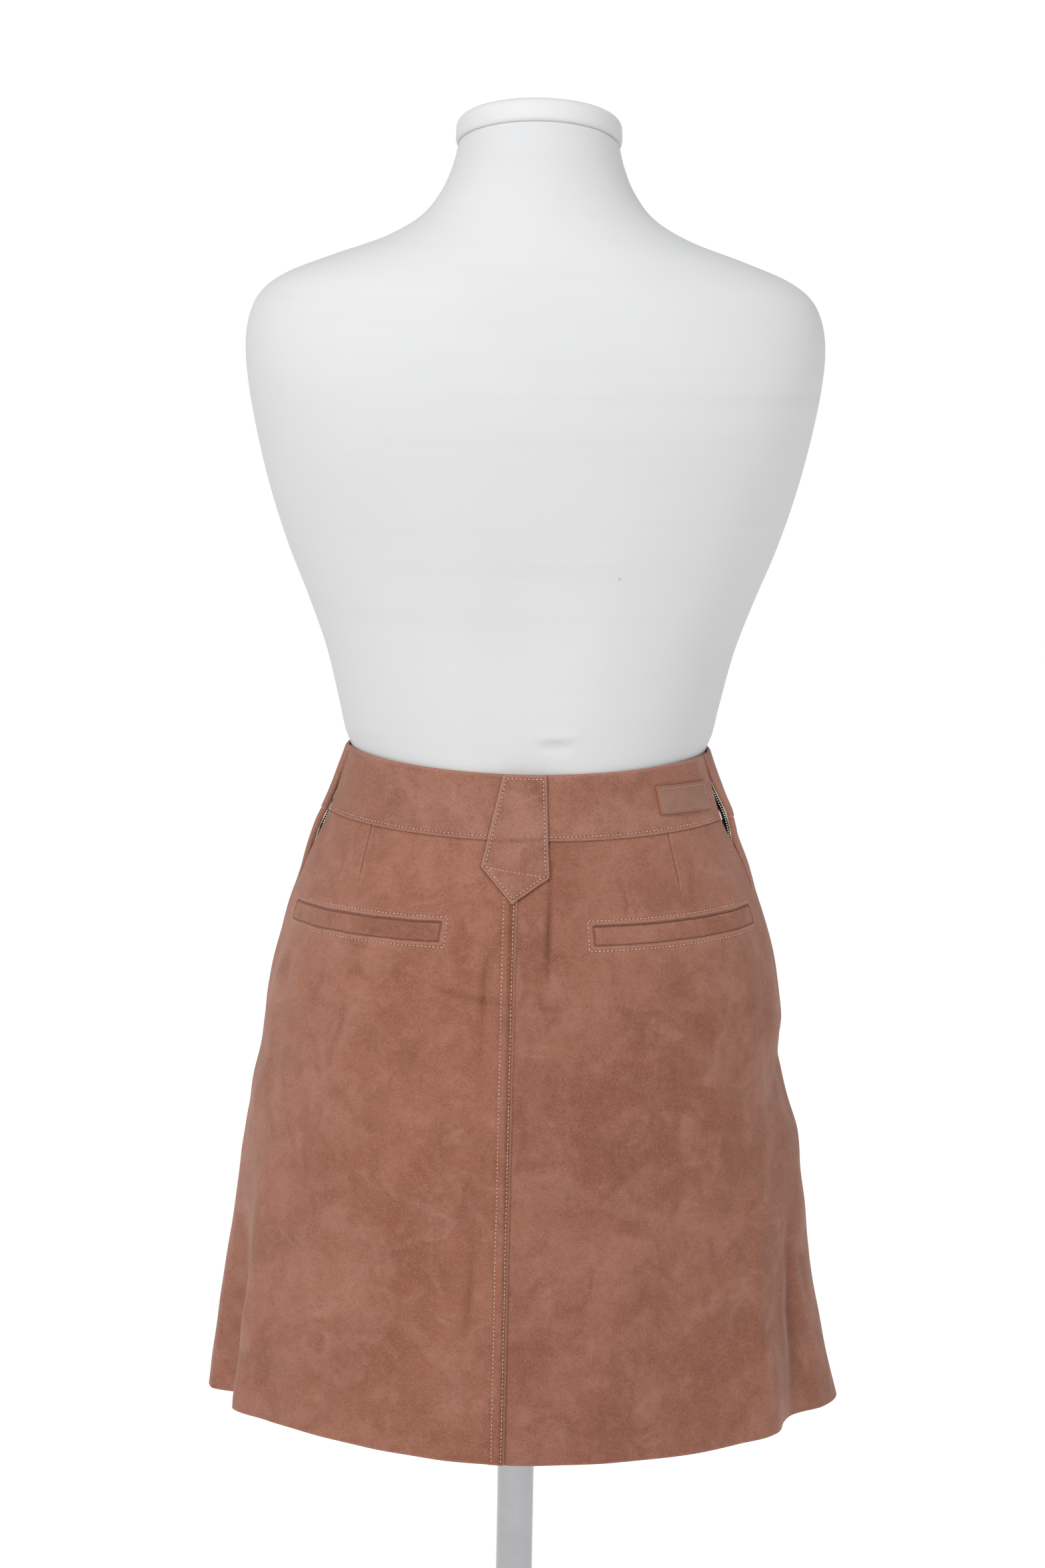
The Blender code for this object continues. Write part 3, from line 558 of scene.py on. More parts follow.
# --- Materials ----------------------------------------------------------------------------------------
class Nodes:
    """A material's node tree, with short ways to add what the finishes here use."""

    def __init__(self, name, **shader):
        self.material = bpy.data.materials.new(name)
        self.material.use_nodes = True
        self.tree = self.material.node_tree
        self.shader = self.tree.nodes["Principled BSDF"]
        for socket, value in shader.items():
            self.shader.inputs[socket.replace("_", " ")].default_value = value
        self.coordinates = self.tree.nodes.new("ShaderNodeTexCoord").outputs["Object"]

    def link(self, source, target):
        self.tree.links.new(source, target)

    def add(self, kind, inputs, result, **settings):
        """A node's output, its inputs set to numbers, vectors or colours, or linked to other outputs."""
        node = self.tree.nodes.new(kind)
        for setting, value in settings.items():
            setattr(node, setting, value)
        for socket, value in inputs.items():
            socket = node.inputs[socket]
            if isinstance(value, (int, float)):
                socket.default_value = value
            elif isinstance(value, tuple):
                socket.default_value = (*value, 1.0) if socket.type == "RGBA" else value
            else:
                self.link(value, socket)
        return node.outputs[result]

    def stretched(self, scale, shift=(0, 0, 0)):
        sockets = {"Scale": scale, "Location": shift, "Vector": self.coordinates}
        return self.add("ShaderNodeMapping", sockets, "Vector")

    def noise(self, scale, detail=3.0, roughness=0.55, distortion=0.0, at=None):
        sockets = {"Scale": scale, "Detail": detail, "Roughness": roughness, "Distortion": distortion,
                   "Vector": at or self.coordinates}
        return self.add("ShaderNodeTexNoise", sockets, "Fac")

    def dots(self, scale, at=None):
        sockets = {"Scale": scale, "Vector": at or self.coordinates}
        return self.add("ShaderNodeTexVoronoi", sockets, "Distance")

    def remap(self, value, low, high, to_low=0.0, to_high=1.0):
        sockets = {"From Min": low, "From Max": high, "To Min": to_low, "To Max": to_high, "Value": value}
        return self.add("ShaderNodeMapRange", sockets, "Result")

    def maths(self, operation, first, *others):
        for other in others:
            first = self.add("ShaderNodeMath", {0: first, 1: other}, "Value", operation=operation)
        return first

    def mix(self, share, a, b):
        return self.add("ShaderNodeMix", {"Factor": share, "A": a, "B": b}, "Result", data_type="RGBA")

    def layer(self, colour, pattern, low, high, share, over):
        """Another colour over this one, where the pattern goes from low to high."""
        return self.mix(self.remap(pattern, low, high, 0.0, share), colour, over)

    def attribute(self, name):
        return self.add("ShaderNodeAttribute", {}, "Fac", attribute_name=name)

    def bumped(self, height, strength, distance):
        sockets = {"Strength": strength, "Distance": distance, "Height": height}
        self.link(self.add("ShaderNodeBump", sockets, "Normal"), self.shader.inputs["Normal"])

    def coloured(self, colour):
        self.link(colour, self.shader.inputs["Base Color"])
        return self.material


def tinted(colour, light, warm=1.0):
    """The colour made lighter or darker, and redder or greyer."""
    grey = sum(colour) / 3
    return tuple(light * (grey + (part - grey) * warm) for part in colour)


def suede(name, light, warm, shift):
    """Napped split hide: clouds where the nap lies differently, brushed marks, fibres and dark pores, with
    painted shade in creases and seams and pale rubbed wear.
    """
    made = Nodes(name, Roughness=0.95, Sheen_Weight=0.26, Sheen_Roughness=0.5,
                 Sheen_Tint=(1.0, 0.84, 0.76, 1.0), Specular_IOR_Level=0.12)
    here = made.stretched((1, 1, 1), shift)
    base = tinted(SUEDE_COLOUR, light, warm)
    fibres = made.noise(1250.0, 3.0, 0.7, 0.3, at=made.stretched((1, 1, 0.8), shift))
    patterns = {
        "patches": made.noise(30.0, 4.0, 0.6, 0.7, at=here),
        "brushed": made.noise(42.0, 4.0, 0.6, 1.2, at=made.stretched((1.0, 1.0, 0.7), shift)),
        "strokes": made.noise(44.0, 4.0, 0.6, 1.0, at=made.stretched((0.75, 0.75, 1.15), shift)),
        "mottles": made.noise(150.0, 3.0, 0.55, 0.5, at=here),
        "fibres": fibres,
    }
    clouds = made.remap(made.noise(11.0, 3.0, 0.5, 0.6, at=here), 0.36, 0.64)
    colour = made.mix(clouds, tinted(base, 0.83, 1.07), tinted(base, 1.15, 0.94))
    for pattern, low, high, share, lighter, warmer in SUEDE_LAYERS:
        colour = made.layer(colour, patterns[pattern], low, high, share, tinted(base, lighter, warmer))
    pores = made.remap(made.dots(260.0, at=here), 0.09, 0.17, 1.0, 0.0)
    some = made.remap(made.noise(130.0, 2.0, at=here), 0.56, 0.62)
    colour = made.mix(made.maths("MULTIPLY", pores, some, 0.5), colour, tinted(base, 0.42, 1.0))
    # Painted shade: the colour darkened where the mesh is marked for shade.
    deep = made.maths("MULTIPLY", made.attribute("painted_shade"), made.remap(fibres, 0.65, 0.40, 0.55, 1.0))
    colour = made.mix(deep, colour, tinted(base, 0.38, 1.35))
    frayed = made.maths("MULTIPLY", made.attribute("worn"), made.remap(fibres, 0.30, 0.60, 0.35, 1.0))
    colour = made.mix(frayed, colour, tinted(base, 1.60, 0.76))
    coarse = made.maths("MULTIPLY", made.noise(330.0, 2.0, at=here), 1.2)
    made.bumped(made.maths("ADD", fibres, coarse, made.noise(1500.0, 2.0, at=here)), 0.75, 0.40 * MM)
    return made.coloured(colour)


def smooth_leather():
    """The patch: smooth worn hide with fine grain and rubbed pale places."""
    made = Nodes("patch_leather", Roughness=0.52, Specular_IOR_Level=0.35)
    rubbed = made.remap(made.noise(60.0, 4.0, 0.6, 0.5, at=made.stretched((1, 1, 1.8))), 0.42, 0.66)
    colour = made.mix(rubbed, tinted(PATCH_COLOUR, 0.90, 1.04), tinted(PATCH_COLOUR, 1.04, 0.92))
    grain = made.dots(1300.0)
    colour = made.layer(colour, grain, 0.30, 0.65, 0.25, tinted(PATCH_COLOUR, 0.65))
    colour = made.mix(made.attribute("worn"), colour, (0.25, 0.088, 0.054))
    made.bumped(made.maths("ADD", grain, made.noise(900.0, 2.0)), 0.35, 0.12 * MM)
    return made.coloured(colour)


def thread():
    made = Nodes("thread", Roughness=0.62, Sheen_Weight=0.15, Specular_IOR_Level=0.35)
    uneven = made.remap(made.noise(420.0, 2.0), 0.36, 0.66)
    made.bumped(made.noise(2600.0, 1.0, at=made.stretched((1, 1, 0.6))), 0.5, 0.10 * MM)
    dull, bright = tinted(THREAD_COLOUR, 0.74, 1.05), tinted(THREAD_COLOUR, 1.10, 0.92)
    return made.coloured(made.mix(uneven, dull, bright))


# A plain material in a shade colour, for painted shade: the needle holes and the darts' grooves.
def painted_shade_material(name, colour):
    made = Nodes(name, Roughness=1.0, Specular_IOR_Level=0.05)
    return made.coloured(made.mix(made.noise(500.0), tinted(colour, 0.6), tinted(colour, 1.4)))


def woven_tape(name, colour):
    made = Nodes(name, Roughness=0.85, Sheen_Weight=0.1, Specular_IOR_Level=0.2)
    ways = made.stretched((1, 1, 0.3)), made.stretched((0.3, 0.3, 1))
    weave = made.maths("MULTIPLY", *[made.noise(1500.0, 1.0, at=way) for way in ways])
    made.bumped(weave, 0.6, 0.15 * MM)
    return made.coloured(made.mix(made.remap(weave, 0.18, 0.34), tinted(colour, 0.75), tinted(colour, 1.2)))


def metal(name, colour, roughness):
    """Worn bright metal with fine scratches along one way."""
    made = Nodes(name, Metallic=1.0)
    scratches = made.noise(900.0, 4.0, 0.7, at=made.stretched((1, 1, 0.05)))
    smudges = made.noise(28.0, 3.0)
    duller = (made.remap(scratches, 0.35, 0.7, -0.05, 0.07), made.remap(smudges, 0.4, 0.7, 0.0, 0.06))
    made.link(made.maths("ADD", *duller, roughness), made.shader.inputs["Roughness"])
    made.bumped(scratches, 0.08, 0.05 * MM)
    return made.coloured(made.mix(made.remap(smudges, 0.35, 0.65), tinted(colour, 0.90), colour))


def form_cover(name, light, yellow=0.0):
    """The form's white stretch cover: a very fine knit with faint handling marks."""
    made = Nodes(name, Roughness=0.72, Specular_IOR_Level=0.25, Sheen_Weight=0.05)
    white = (light * 0.995, light, light * (1.012 - yellow))
    clouds = made.remap(made.noise(6.0, 3.0, 0.5, 0.3), 0.35, 0.65)
    colour = made.mix(clouds, tinted(white, 0.965), white)
    lines = made.noise(7.0, 4.0, 0.55, 0.2, at=made.stretched((0.35, 0.35, 9.0)))
    yellowed = tinted((light, light * 0.992, light * 0.975), 0.955)
    colour = made.layer(colour, lines, 0.52, 0.70, 0.5, yellowed)
    specks = made.maths("MULTIPLY", made.remap(made.dots(30.0), 0.02, 0.035, 0.6, 0.0),
                        made.remap(made.noise(14.0, 1.0), 0.56, 0.60))
    colour = made.mix(specks, colour, (0.33, 0.30, 0.28))
    threads = made.noise(1900.0, 1.0, at=made.stretched((1, 1, 0.45)))
    knit = made.maths("MULTIPLY", threads, made.noise(2400.0, 1.0))
    made.bumped(made.maths("ADD", knit, made.maths("MULTIPLY", clouds, 0.6)), 0.12, 0.20 * MM)
    return made.coloured(colour)


def base_paint():
    made = Nodes("base_paint", Roughness=0.42, Coat_Weight=0.15, Coat_Roughness=0.35)
    made.bumped(made.noise(420.0, 2.0), 0.06, 0.05 * MM)
    scuffs = made.noise(45.0, 5.0, 0.7, 1.0)
    return made.coloured(made.layer((0.70, 0.70, 0.69), scuffs, 0.60, 0.72, 0.35, (0.52, 0.52, 0.51)))


# --- Stitching ----------------------------------------------------------------------------------------
class Stitching:
    """Gathers stitches and needle holes for one joined mesh; the holes are small discs in painted shade."""

    SIDES, RINGS = 6, 7

    def __init__(self):
        self.points, self.faces, self.chosen, self.rng = [], [], [], np.random.default_rng(5)
        self.turn = np.linspace(0, 2 * math.pi, self.SIDES, endpoint=False)[:, None]

    def row(self, degrees, drops, off, pitch=STITCH_PITCH, radius=THREAD_RADIUS):
        """A row of stitches along a line of places, lying on the cloth at this offset."""
        known = np.arange(len(degrees))
        fine = np.linspace(0, len(degrees) - 1, (len(degrees) - 1) * 60 + 1)
        degrees, drops = np.interp(fine, known, degrees), np.interp(fine, known, drops)
        height = off(degrees, drops) if callable(off) else off
        line, normal = on_cloth(degrees, drops, height, with_normals=True)
        gone = np.concatenate([[0], np.cumsum(np.linalg.norm(np.diff(line, axis=0), axis=1))])
        ends = np.linspace(0, gone[-1], max(int(round(gone[-1] / pitch)), 1) + 1)

        def at(distance, values):
            return np.stack([np.interp(distance, gone, values[:, k]) for k in range(3)], -1)

        for start, end in zip(ends, ends[1:]):
            middle, half = (start + end) / 2, (end - start) / 2 * STITCH_FILL * self.rng.uniform(0.80, 1.10)
            run = at(middle + half, line) - at(middle - half, line)
            self.stitch(at(middle, line), run, at(middle, normal), radius * self.rng.uniform(0.82, 1.14))
        for end in ends:
            self.hole(at(end, line), at(end, normal), radius * 1.10)

    def gather(self, rings, chosen, open_end=False):
        """Adds a small form through rings of points."""
        faces = flipped(ring_faces(len(rings), self.SIDES, len(self.points) * self.SIDES))
        faces = faces[:-1] if open_end else faces
        self.faces += faces
        self.chosen += [chosen] * len(faces)
        self.points += list(rings)

    def stitch(self, centre, run, normal, radius):
        half = np.linalg.norm(run) / 2
        ahead = run / (2 * half) + self.rng.normal(0, 0.07, 3)
        ahead /= np.linalg.norm(ahead)
        side = np.cross(normal, ahead)
        side /= np.linalg.norm(side)
        s = np.sin(np.linspace(-math.pi / 2, math.pi / 2, self.RINGS))
        lift = radius * (0.55 - 1.15 * np.abs(s) ** 3)
        width = radius * np.sqrt(np.clip(1.0 - 0.86 * s**6, 0, 1))
        ring = np.cos(self.turn) * side + np.sin(self.turn) * normal
        spine = centre + s[:, None] * half * ahead + lift[:, None] * normal
        self.gather(spine[:, None] + width[:, None, None] * ring[None], 0)

    def hole(self, centre, normal, radius):
        # Painted shade: a flat disc of shade colour just over the cloth where the needle hole is, above a
        # cone into it.
        side = np.cross(normal, (0.3, 0.2, 1.0))
        side /= np.linalg.norm(side)
        other = np.cross(normal, side)
        flat = centre + radius * (np.cos(self.turn) * side + np.sin(self.turn) * other)
        self.gather([flat + normal * 0.10 * MM, 0 * flat + centre - normal * 0.35 * MM], 1, open_end=True)

    def finish(self, name):
        points = np.concatenate(self.points)
        add_mesh(name, points, self.faces, [THREAD, HOLE_SHADE], chosen=self.chosen)


def inset(corners, distance):
    """The corners of a closed outline given clockwise in metres, moved in by a distance."""
    corners = np.array(corners, float)
    moved = []
    for before, here, after in zip(np.roll(corners, 1, 0), corners, np.roll(corners, -1, 0)):
        one, two = here - before, after - here
        n1 = np.array([-one[1], one[0]]) / np.linalg.norm(one)
        n2 = np.array([-two[1], two[0]]) / np.linalg.norm(two)
        moved.append(here + (n1 + n2) * distance / (1 + n1 @ n2))
    return moved


def sides_of(corners, count):
    """Evenly spaced places along each side of an open line."""
    return [np.linspace(start, end, count).T for start, end in zip(corners, corners[1:])]


# --- Panels, with their relief in mm until it reaches the shell ---------------------------------------
def pocket_stride(side):
    """Metres to a degree along a pocket."""
    inner, outer, drop = POCKETS[side][:3]
    return float(metres_per_degree(CENTRE_BACK_DEG + side * (inner + outer) / 2, drop))


def pocket_skew(side, from_seam, drops):
    """How much lower the pocket line runs here than at the pocket's inner end."""
    inner, outer, drop, lower = POCKETS[side]
    share = np.interp(np.abs(from_seam), [inner, outer, outer + POCKET_SLANT_FADE_DEG], [0.0, 1.0, 0.0])
    return lower * share * bump(drops - drop - POCKET_HEIGHT / 2, POCKET_SLANT_REACH)


def pocket_depth_inside(side, from_seam, straight_drop):
    """Distance inside the pocket's opening, negative outside it, for drops along the slanted rows."""
    inner, outer, drop = POCKETS[side][:3]
    stride = pocket_stride(side)
    half_wide, half_high = (outer - inner) / 2 * stride, POCKET_HEIGHT / 2
    corner = np.where(np.abs(from_seam) < (inner + outer) / 2, POCKET_INNER_CORNER, POCKET_OUTER_CORNER)
    x = np.abs(np.abs(from_seam) - (inner + outer) / 2) * stride - (half_wide - corner)
    y = np.abs(straight_drop - drop - half_high) - (half_high - corner)
    outside = np.hypot(np.maximum(x, 0), np.maximum(y, 0)) + np.minimum(np.maximum(x, y), 0)
    return corner - outside


def dart_distance(side, degrees, drops):
    """Distance from the dart's line, and how far the dart has not yet faded towards its lower end."""
    top_deg, top_drop, end_deg, end_drop = DARTS[0 if side < 0 else 1]
    share = (drops - top_drop) / (end_drop - top_drop)
    line = CENTRE_BACK_DEG + top_deg + (end_deg - top_deg) * np.clip(share, 0, 1)
    return np.abs(degrees - line) * metres_per_degree(degrees, drops), 1 - step(share - 0.55, 0.45)


def back_panel(side, name, node, material):
    rows = rows_through(BACK_ROWS)
    lap = side < 0
    end = piece_ends(rows, False)[0 if lap else 1]
    start = np.full(len(rows), CENTRE_BACK_DEG)
    degrees = columns_between(start, end, HEAD_LEFT if lap else HEAD_RIGHT, EDGE, BACK_COLUMNS, rows)
    straight = np.repeat(rows[:, None], degrees.shape[1], 1)
    from_seam = degrees - CENTRE_BACK_DEG
    drops = straight + pocket_skew(side, from_seam, straight)
    lift = HEM_LIFT * bump(from_seam + HEM_LIFT_DEG, HEM_LIFT_DEG)
    drops = drops - lift * step(straight - HEM_LIFT_START, SKIRT_DROP - HEM_LIFT_START) ** 2
    centre = np.radians(from_seam * side) * read_table(SKIRT_SECTIONS, drops, 1)
    inside = pocket_depth_inside(side, from_seam, straight)
    stitched = inside + POCKET_STITCH_OUT
    dart, dart_fade = dart_distance(side, degrees, drops)
    edge = np.abs(end[:, None] - degrees) * metres_per_degree(degrees, drops)
    opening, shadow = at_opening(drops), tab_shadow(degrees, drops)
    upper_half = straight < POCKETS[side][2] + POCKET_HEIGHT / 2

    off = -0.75 * until(drops, 41.2, 2.6) - 0.25 * shadow
    off = off - POCKET_RECESS_MM * past(inside, -0.3, 1.0) + 0.35 * ridge(inside, -1.2, 2.2)
    off = off - 0.22 * ridge(stitched, 0, 1.1)
    off = off + dart_fade * (0.25 * ridge(dart, 2.4, 2.4) - 0.55 * ridge(dart, 0, 1.5))
    off = off + opening * (0.35 * ridge(edge, 3.0, 4.5) - 0.35 * until(edge, 0, 1.4))
    worn = 0.55 * ridge(inside, -1.0, 1.6) * (1 - 0.5 * past(inside, 0, 0.4))
    worn = worn + 0.45 * dart_fade * ridge(dart, 1.0, 1.6) + 0.5 * opening * until(edge, 0, 2.2)
    worn = worn + 0.35 * until(SKIRT_DROP - straight, 0, 1.6) + 0.16 * ridge(inside, -3.5, 4.5)
    worn = worn + 0.20 * ridge(edge, 26, 44) * ridge(drops, 78, 55)
    # Painted shade under the waistband's edge, round the pocket openings (more along their upper halves),
    # beside the tab, in the dart's groove and along the pocket stitching.
    painted_shade = 0.55 * until(drops, 41.7, 2.2) + np.where(upper_half, 0.8, 0.4) * ridge(inside, -0.1, 0.9)
    painted_shade = painted_shade + 0.7 * shadow + 0.55 * dart_fade * ridge(dart, 0, 1.1) + 0.12 * ridge(stitched, 0, 0.9)
    if lap:
        off = off + CENTRE_LAP_MM * until(centre, 9.0, 2.4) - 0.4 * until(centre, 0, 0.9)
        off = off - 0.08 * (ridge(centre, 2.0, 1.0) + ridge(centre, 8.4, 1.0))
        worn = worn + 0.55 * until(centre, 0, 1.6)
        # Painted shade where the raised seam allowance steps down.
        painted_shade = painted_shade + 0.20 * ridge(centre, 9.8, 1.6)
    else:
        off = off - 0.50 * until(centre, 0, 2.2)
        # Painted shade beside the centre-back seam, where the lapping panel's edge overhangs this one.
        painted_shade = painted_shade + 0.45 * until(centre, 0.1, 1.0)
    thickness = SUEDE + 1.1 * MM * opening * until(edge, 5, 4)
    return shell(name, node, material, degrees, drops, off * MM, thickness, worn, painted_shade)


def front_edges(edge, drops):
    """Relief in mm, extra thickness and wear of a front piece's turned edges along the openings."""
    opening = at_opening(drops)
    off = opening * (0.4 * ridge(edge, 3.0, 4.5) - 0.3 * until(edge, 0, 1.2))
    return off, 1.5 * MM * opening * until(edge, 5, 4), 0.5 * opening * until(edge, 0, 2.6)


def front_panel(name, node, material):
    degrees, drops, edge = whole_grid(FRONT_ROWS, True, FRONT_COLUMNS)
    off, extra, worn = front_edges(edge, drops)
    off = off - 0.75 * until(drops, 41.2, 2.6)
    worn = worn + 0.35 * until(SKIRT_DROP - drops, 0, 1.6)
    # Painted shade under the waistband's lower edge.
    painted_shade = 0.75 * until(drops, 41.7, 2.2)
    return shell(name, node, material, degrees, drops, off * MM, SUEDE + extra, worn, painted_shade)


# --- Waistband ----------------------------------------------------------------------------------------
def band_relief(degrees, drops):
    """The waistband's face in mm: turned at the top, stitched down at its lower edge, full between."""
    off = 0.25 * ridge(drops, 20, 18) - 0.45 * until(drops, 0, 1.4)
    off = off - 0.25 * until(BAND_DROP - drops, 0, 0.9)
    wander = np.sin(np.radians(degrees) * 17 + 1.3) + 0.7 * np.sin(np.radians(degrees) * 41 + drops * 120)
    return off - 0.25 * ridge(drops - BAND_DROP, -2.2, 1.2) + 0.10 * wander * ridge(drops, 20, 21)


def waistband(front, name, node, material):
    degrees, drops, edge = whole_grid(BAND_ROWS, front, BAND_COLUMNS)
    off, thickness = band_relief(degrees, drops), SUEDE + BAND_PROUD
    worn = 0.45 * until(drops, 0, 1.8) + 0.5 * until(BAND_DROP - drops, 0, 1.2) + 0.5 * until(edge, 0, 2.2)
    # Painted shade in the stitched groove just above the lower edge.
    painted_shade = 0.3 * ridge(drops - BAND_DROP, -2.2, 0.9)
    if front:
        more, extra, _ = front_edges(edge, drops)
        off, thickness = off + more, thickness + extra
    else:
        off = off - 0.4 * until(edge, 0, 1.4)
        # Painted shade beside the tab and round the patch.
        painted_shade = painted_shade + 0.55 * tab_shadow(degrees, drops) + 0.6 * patch_shadow(degrees, drops)
    return shell(name, node, material, degrees, drops, BAND_PROUD + off * MM, thickness, worn, painted_shade)


# --- Tab, welts and patch -----------------------------------------------------------------------------
def tab_half(along):
    widening = TAB_TOP_HALF + (TAB_WIDE_HALF - TAB_TOP_HALF) * along / TAB_WIDE_DROP
    point = TAB_WIDE_HALF * (TAB_LENGTH - along) / (TAB_LENGTH - TAB_WIDE_DROP)
    return np.maximum(np.where(along <= TAB_WIDE_DROP, widening, point), TAB_TIP_HALF)


def tab_place(across, along):
    """Degrees and drop of a point on the tab, from how far across and along it is."""
    drops = along + TAB_SKEW * across * np.minimum(along / TAB_WIDE_DROP, 1.0)
    reach = read_table(SKIRT_SECTIONS, drops, 1)
    return np.degrees(np.arcsin((TAB_OFFSET - TAB_LEAN * along + across) / reach)), drops


def tab_shadow(degrees, drops):
    """How close a place on the cloth lies to the tab's edge, from outside it."""
    along = np.clip(drops, 0.0, TAB_LENGTH)
    across = np.sin(np.radians(degrees)) * read_table(SKIRT_SECTIONS, drops, 1)
    across = across - TAB_OFFSET + TAB_LEAN * along
    along = np.clip(along - TAB_SKEW * across * np.minimum(along / TAB_WIDE_DROP, 1.0), 0.0, TAB_LENGTH)
    slope = np.where(along > TAB_WIDE_DROP, 0.66, 1.0)
    return ridge((np.abs(across) - tab_half(along)) * slope, 0, 1.8)


def tab_seat(drops):
    """How far out the tab's outer face lies: over the waistband, then down onto the panels."""
    on_band = 1 - step(drops - BAND_DROP - TAB_STEP_START, TAB_STEP)
    return GAP + BAND_PROUD * on_band + TAB_THICKNESS


def centre_tab(name, node, material):
    rows = rows_through(TAB_ROWS)
    half = tab_half(rows)[:, None]
    near = np.array([0, 0.3, 0.8, 1.5, 2.3, 3.2]) * MM
    reach = np.maximum(half - near[-1], 0.15 * half)
    left = -half + near[None, :-1] * np.minimum((half - reach) / near[-1], 1.0)
    # The right edge has one column fewer, so that the coarse inner face gets the last one as well.
    across = np.hstack([left, np.linspace(-1, 1, 25)[None] * reach, -left[:, :0:-1]])
    along = np.repeat(rows[:, None], across.shape[1], 1)
    degrees, drops = tab_place(across, along)
    edge = np.minimum(half - np.abs(across), np.minimum(along, (TAB_LENGTH - along) * 0.75))
    edge = np.maximum(edge, 0)
    off = -0.35 * until(edge, 0, 1.1) - 0.28 * ridge(edge, 2.2, 1.2) + 0.35 * past(edge, 2.6, 5)
    off = off - 0.25 * ridge(along - TAB_WIDE_DROP, 0, 1.3) + 0.12 * np.sin(along * 230 + across * 60)
    worn = 0.62 * until(edge, 0.6, 1.6) + 0.25 * ridge(along, 36, 10) * past(across, 0, 10)
    # Painted shade across the tab where it steps off the waistband, and along its stitching groove.
    painted_shade = 0.5 * ridge(along - BAND_DROP + TAB_SKEW * across, 0, 2.2) + 0.3 * ridge(edge, 2.2, 0.9)
    seat = tab_seat(drops)
    return shell(name, node, material, degrees, drops, seat + off * MM, TAB_THICKNESS, worn, painted_shade)


def welt(side, name, node, material):
    """The strip in a pocket's opening: full, with rounded outer corners, a dark mouth above it and painted
    shade along its edges.
    """
    inner, outer, drop = POCKETS[side][:3]
    stride = pocket_stride(side)
    gap = 0.45 * MM / stride
    share = np.linspace(0, 1, 103)
    down = np.array([0, 0.02, 0.06, 0.12, *np.linspace(0.2, 0.8, 14), 0.88, 0.94, 0.98, 1.0])[:, None]
    end_away = np.minimum(share, 1 - share)[None] * (outer - inner) * stride
    corner = np.where(share < 0.5, POCKET_INNER_CORNER, POCKET_OUTER_CORNER)[None] - 0.6 * MM
    short = corner - np.sqrt(np.clip(corner**2 - np.maximum(corner - end_away, 0) ** 2, 0, None))
    top, bottom = drop + 0.95 * MM + short, drop + POCKET_HEIGHT - 0.4 * MM - short
    straight = top + (bottom - top) * down
    from_seam = np.repeat(side * (inner + gap + share * (outer - inner - 2 * gap))[None], len(down), 0)
    drops = straight + pocket_skew(side, from_seam, straight)
    edge = np.minimum(np.minimum(straight - top, bottom - straight), end_away)
    off = 0.35 * past(edge, 0, 4) - 0.25 - 0.75 * until(edge, 0, 1.0)
    # Painted shade along the welt's edges.
    return shell(name, node, material, CENTRE_BACK_DEG + from_seam, drops, off * MM, 1.2 * MM,
                 0.2 * until(edge, 0.8, 1.2), 0.7 * until(edge, 0, 0.9))


def patch_place(x, y):
    """Degrees and drop of a point of the patch, from metres across and down from its middle."""
    return CENTRE_BACK_DEG + PATCH_DEG + np.degrees(x / PATCH_RADIUS), PATCH_DROP + y + PATCH_TILT * x


def patch_shadow(degrees, drops):
    """How close a place on the waistband lies to the patch's edge, from outside it."""
    x = np.radians(degrees - CENTRE_BACK_DEG - PATCH_DEG) * PATCH_RADIUS
    y = drops - PATCH_DROP - PATCH_TILT * x
    return ridge(np.maximum(np.abs(x) - PATCH_WIDTH / 2, np.abs(y) - PATCH_HEIGHT / 2), 0, 1.5)


def patch(name, node, material):
    def places(half, near, inner, count):
        near = half - np.array(near) * MM
        return trim(np.concatenate([-near, np.linspace(-inner, inner, count), near[::-1]]))

    x = places(PATCH_WIDTH / 2, (0, 0.3, 0.8, 1.5), 0.0195, 41)
    y = places(PATCH_HEIGHT / 2, (0, 0.3, 0.8), 0.0072, 17)
    across, down = np.meshgrid(x, y)
    edge = np.minimum(PATCH_WIDTH / 2 - np.abs(across), PATCH_HEIGHT / 2 - np.abs(down))
    off = 0.12 * past(edge, 2.2, 3) - 0.4 * until(edge, 0, 1.0) - 0.22 * ridge(edge, 1.9, 1.0)
    worn = 0.9 * until(across + PATCH_WIDTH / 2, 0.2, 0.9) + 0.25 * until(edge, 0, 0.7)
    return shell(name, node, material, *patch_place(across, down), PATCH_SEAT + off * MM,
                 PATCH_THICKNESS + GAP, worn, slot="patch_leather")


# --- Zips ---------------------------------------------------------------------------------------------
def tape_off(side, degrees, drops):
    """The tape lies behind the back edge of the opening and swings out well under the front edge."""
    from_seam = side * np.radians(wrapped(degrees - side_seam_deg(side, drops)))
    beyond = from_seam * read_table(SKIRT_SECTIONS, drops, 2)
    swung = np.clip((beyond - TAPE_FLAT) / (0.5 * TAPE_WIDTH - TAPE_FLAT), 0, 1)
    return (TAPE_SWING * swung - 1.0) * front_edge_out(degrees, drops) - SUEDE - GAP - 0.2 * MM


def zip_tape(side, name, node, material):
    rows = np.linspace(TAPE_TOP_DROP, ZIP_DROP, 61)
    share = np.linspace(-1, 1, 31)[None, ::side]
    half = np.degrees(0.5 * TAPE_WIDTH / read_table(SKIRT_SECTIONS, rows, 2))[:, None]
    degrees = side_seam_deg(side, rows)[:, None] + side * share * half
    drops = np.repeat(rows[:, None], share.shape[1], 1)
    off = tape_off(side, degrees, drops)
    return shell(name, node, material, degrees, drops, off, 0.7 * MM, slot="zip_tape")


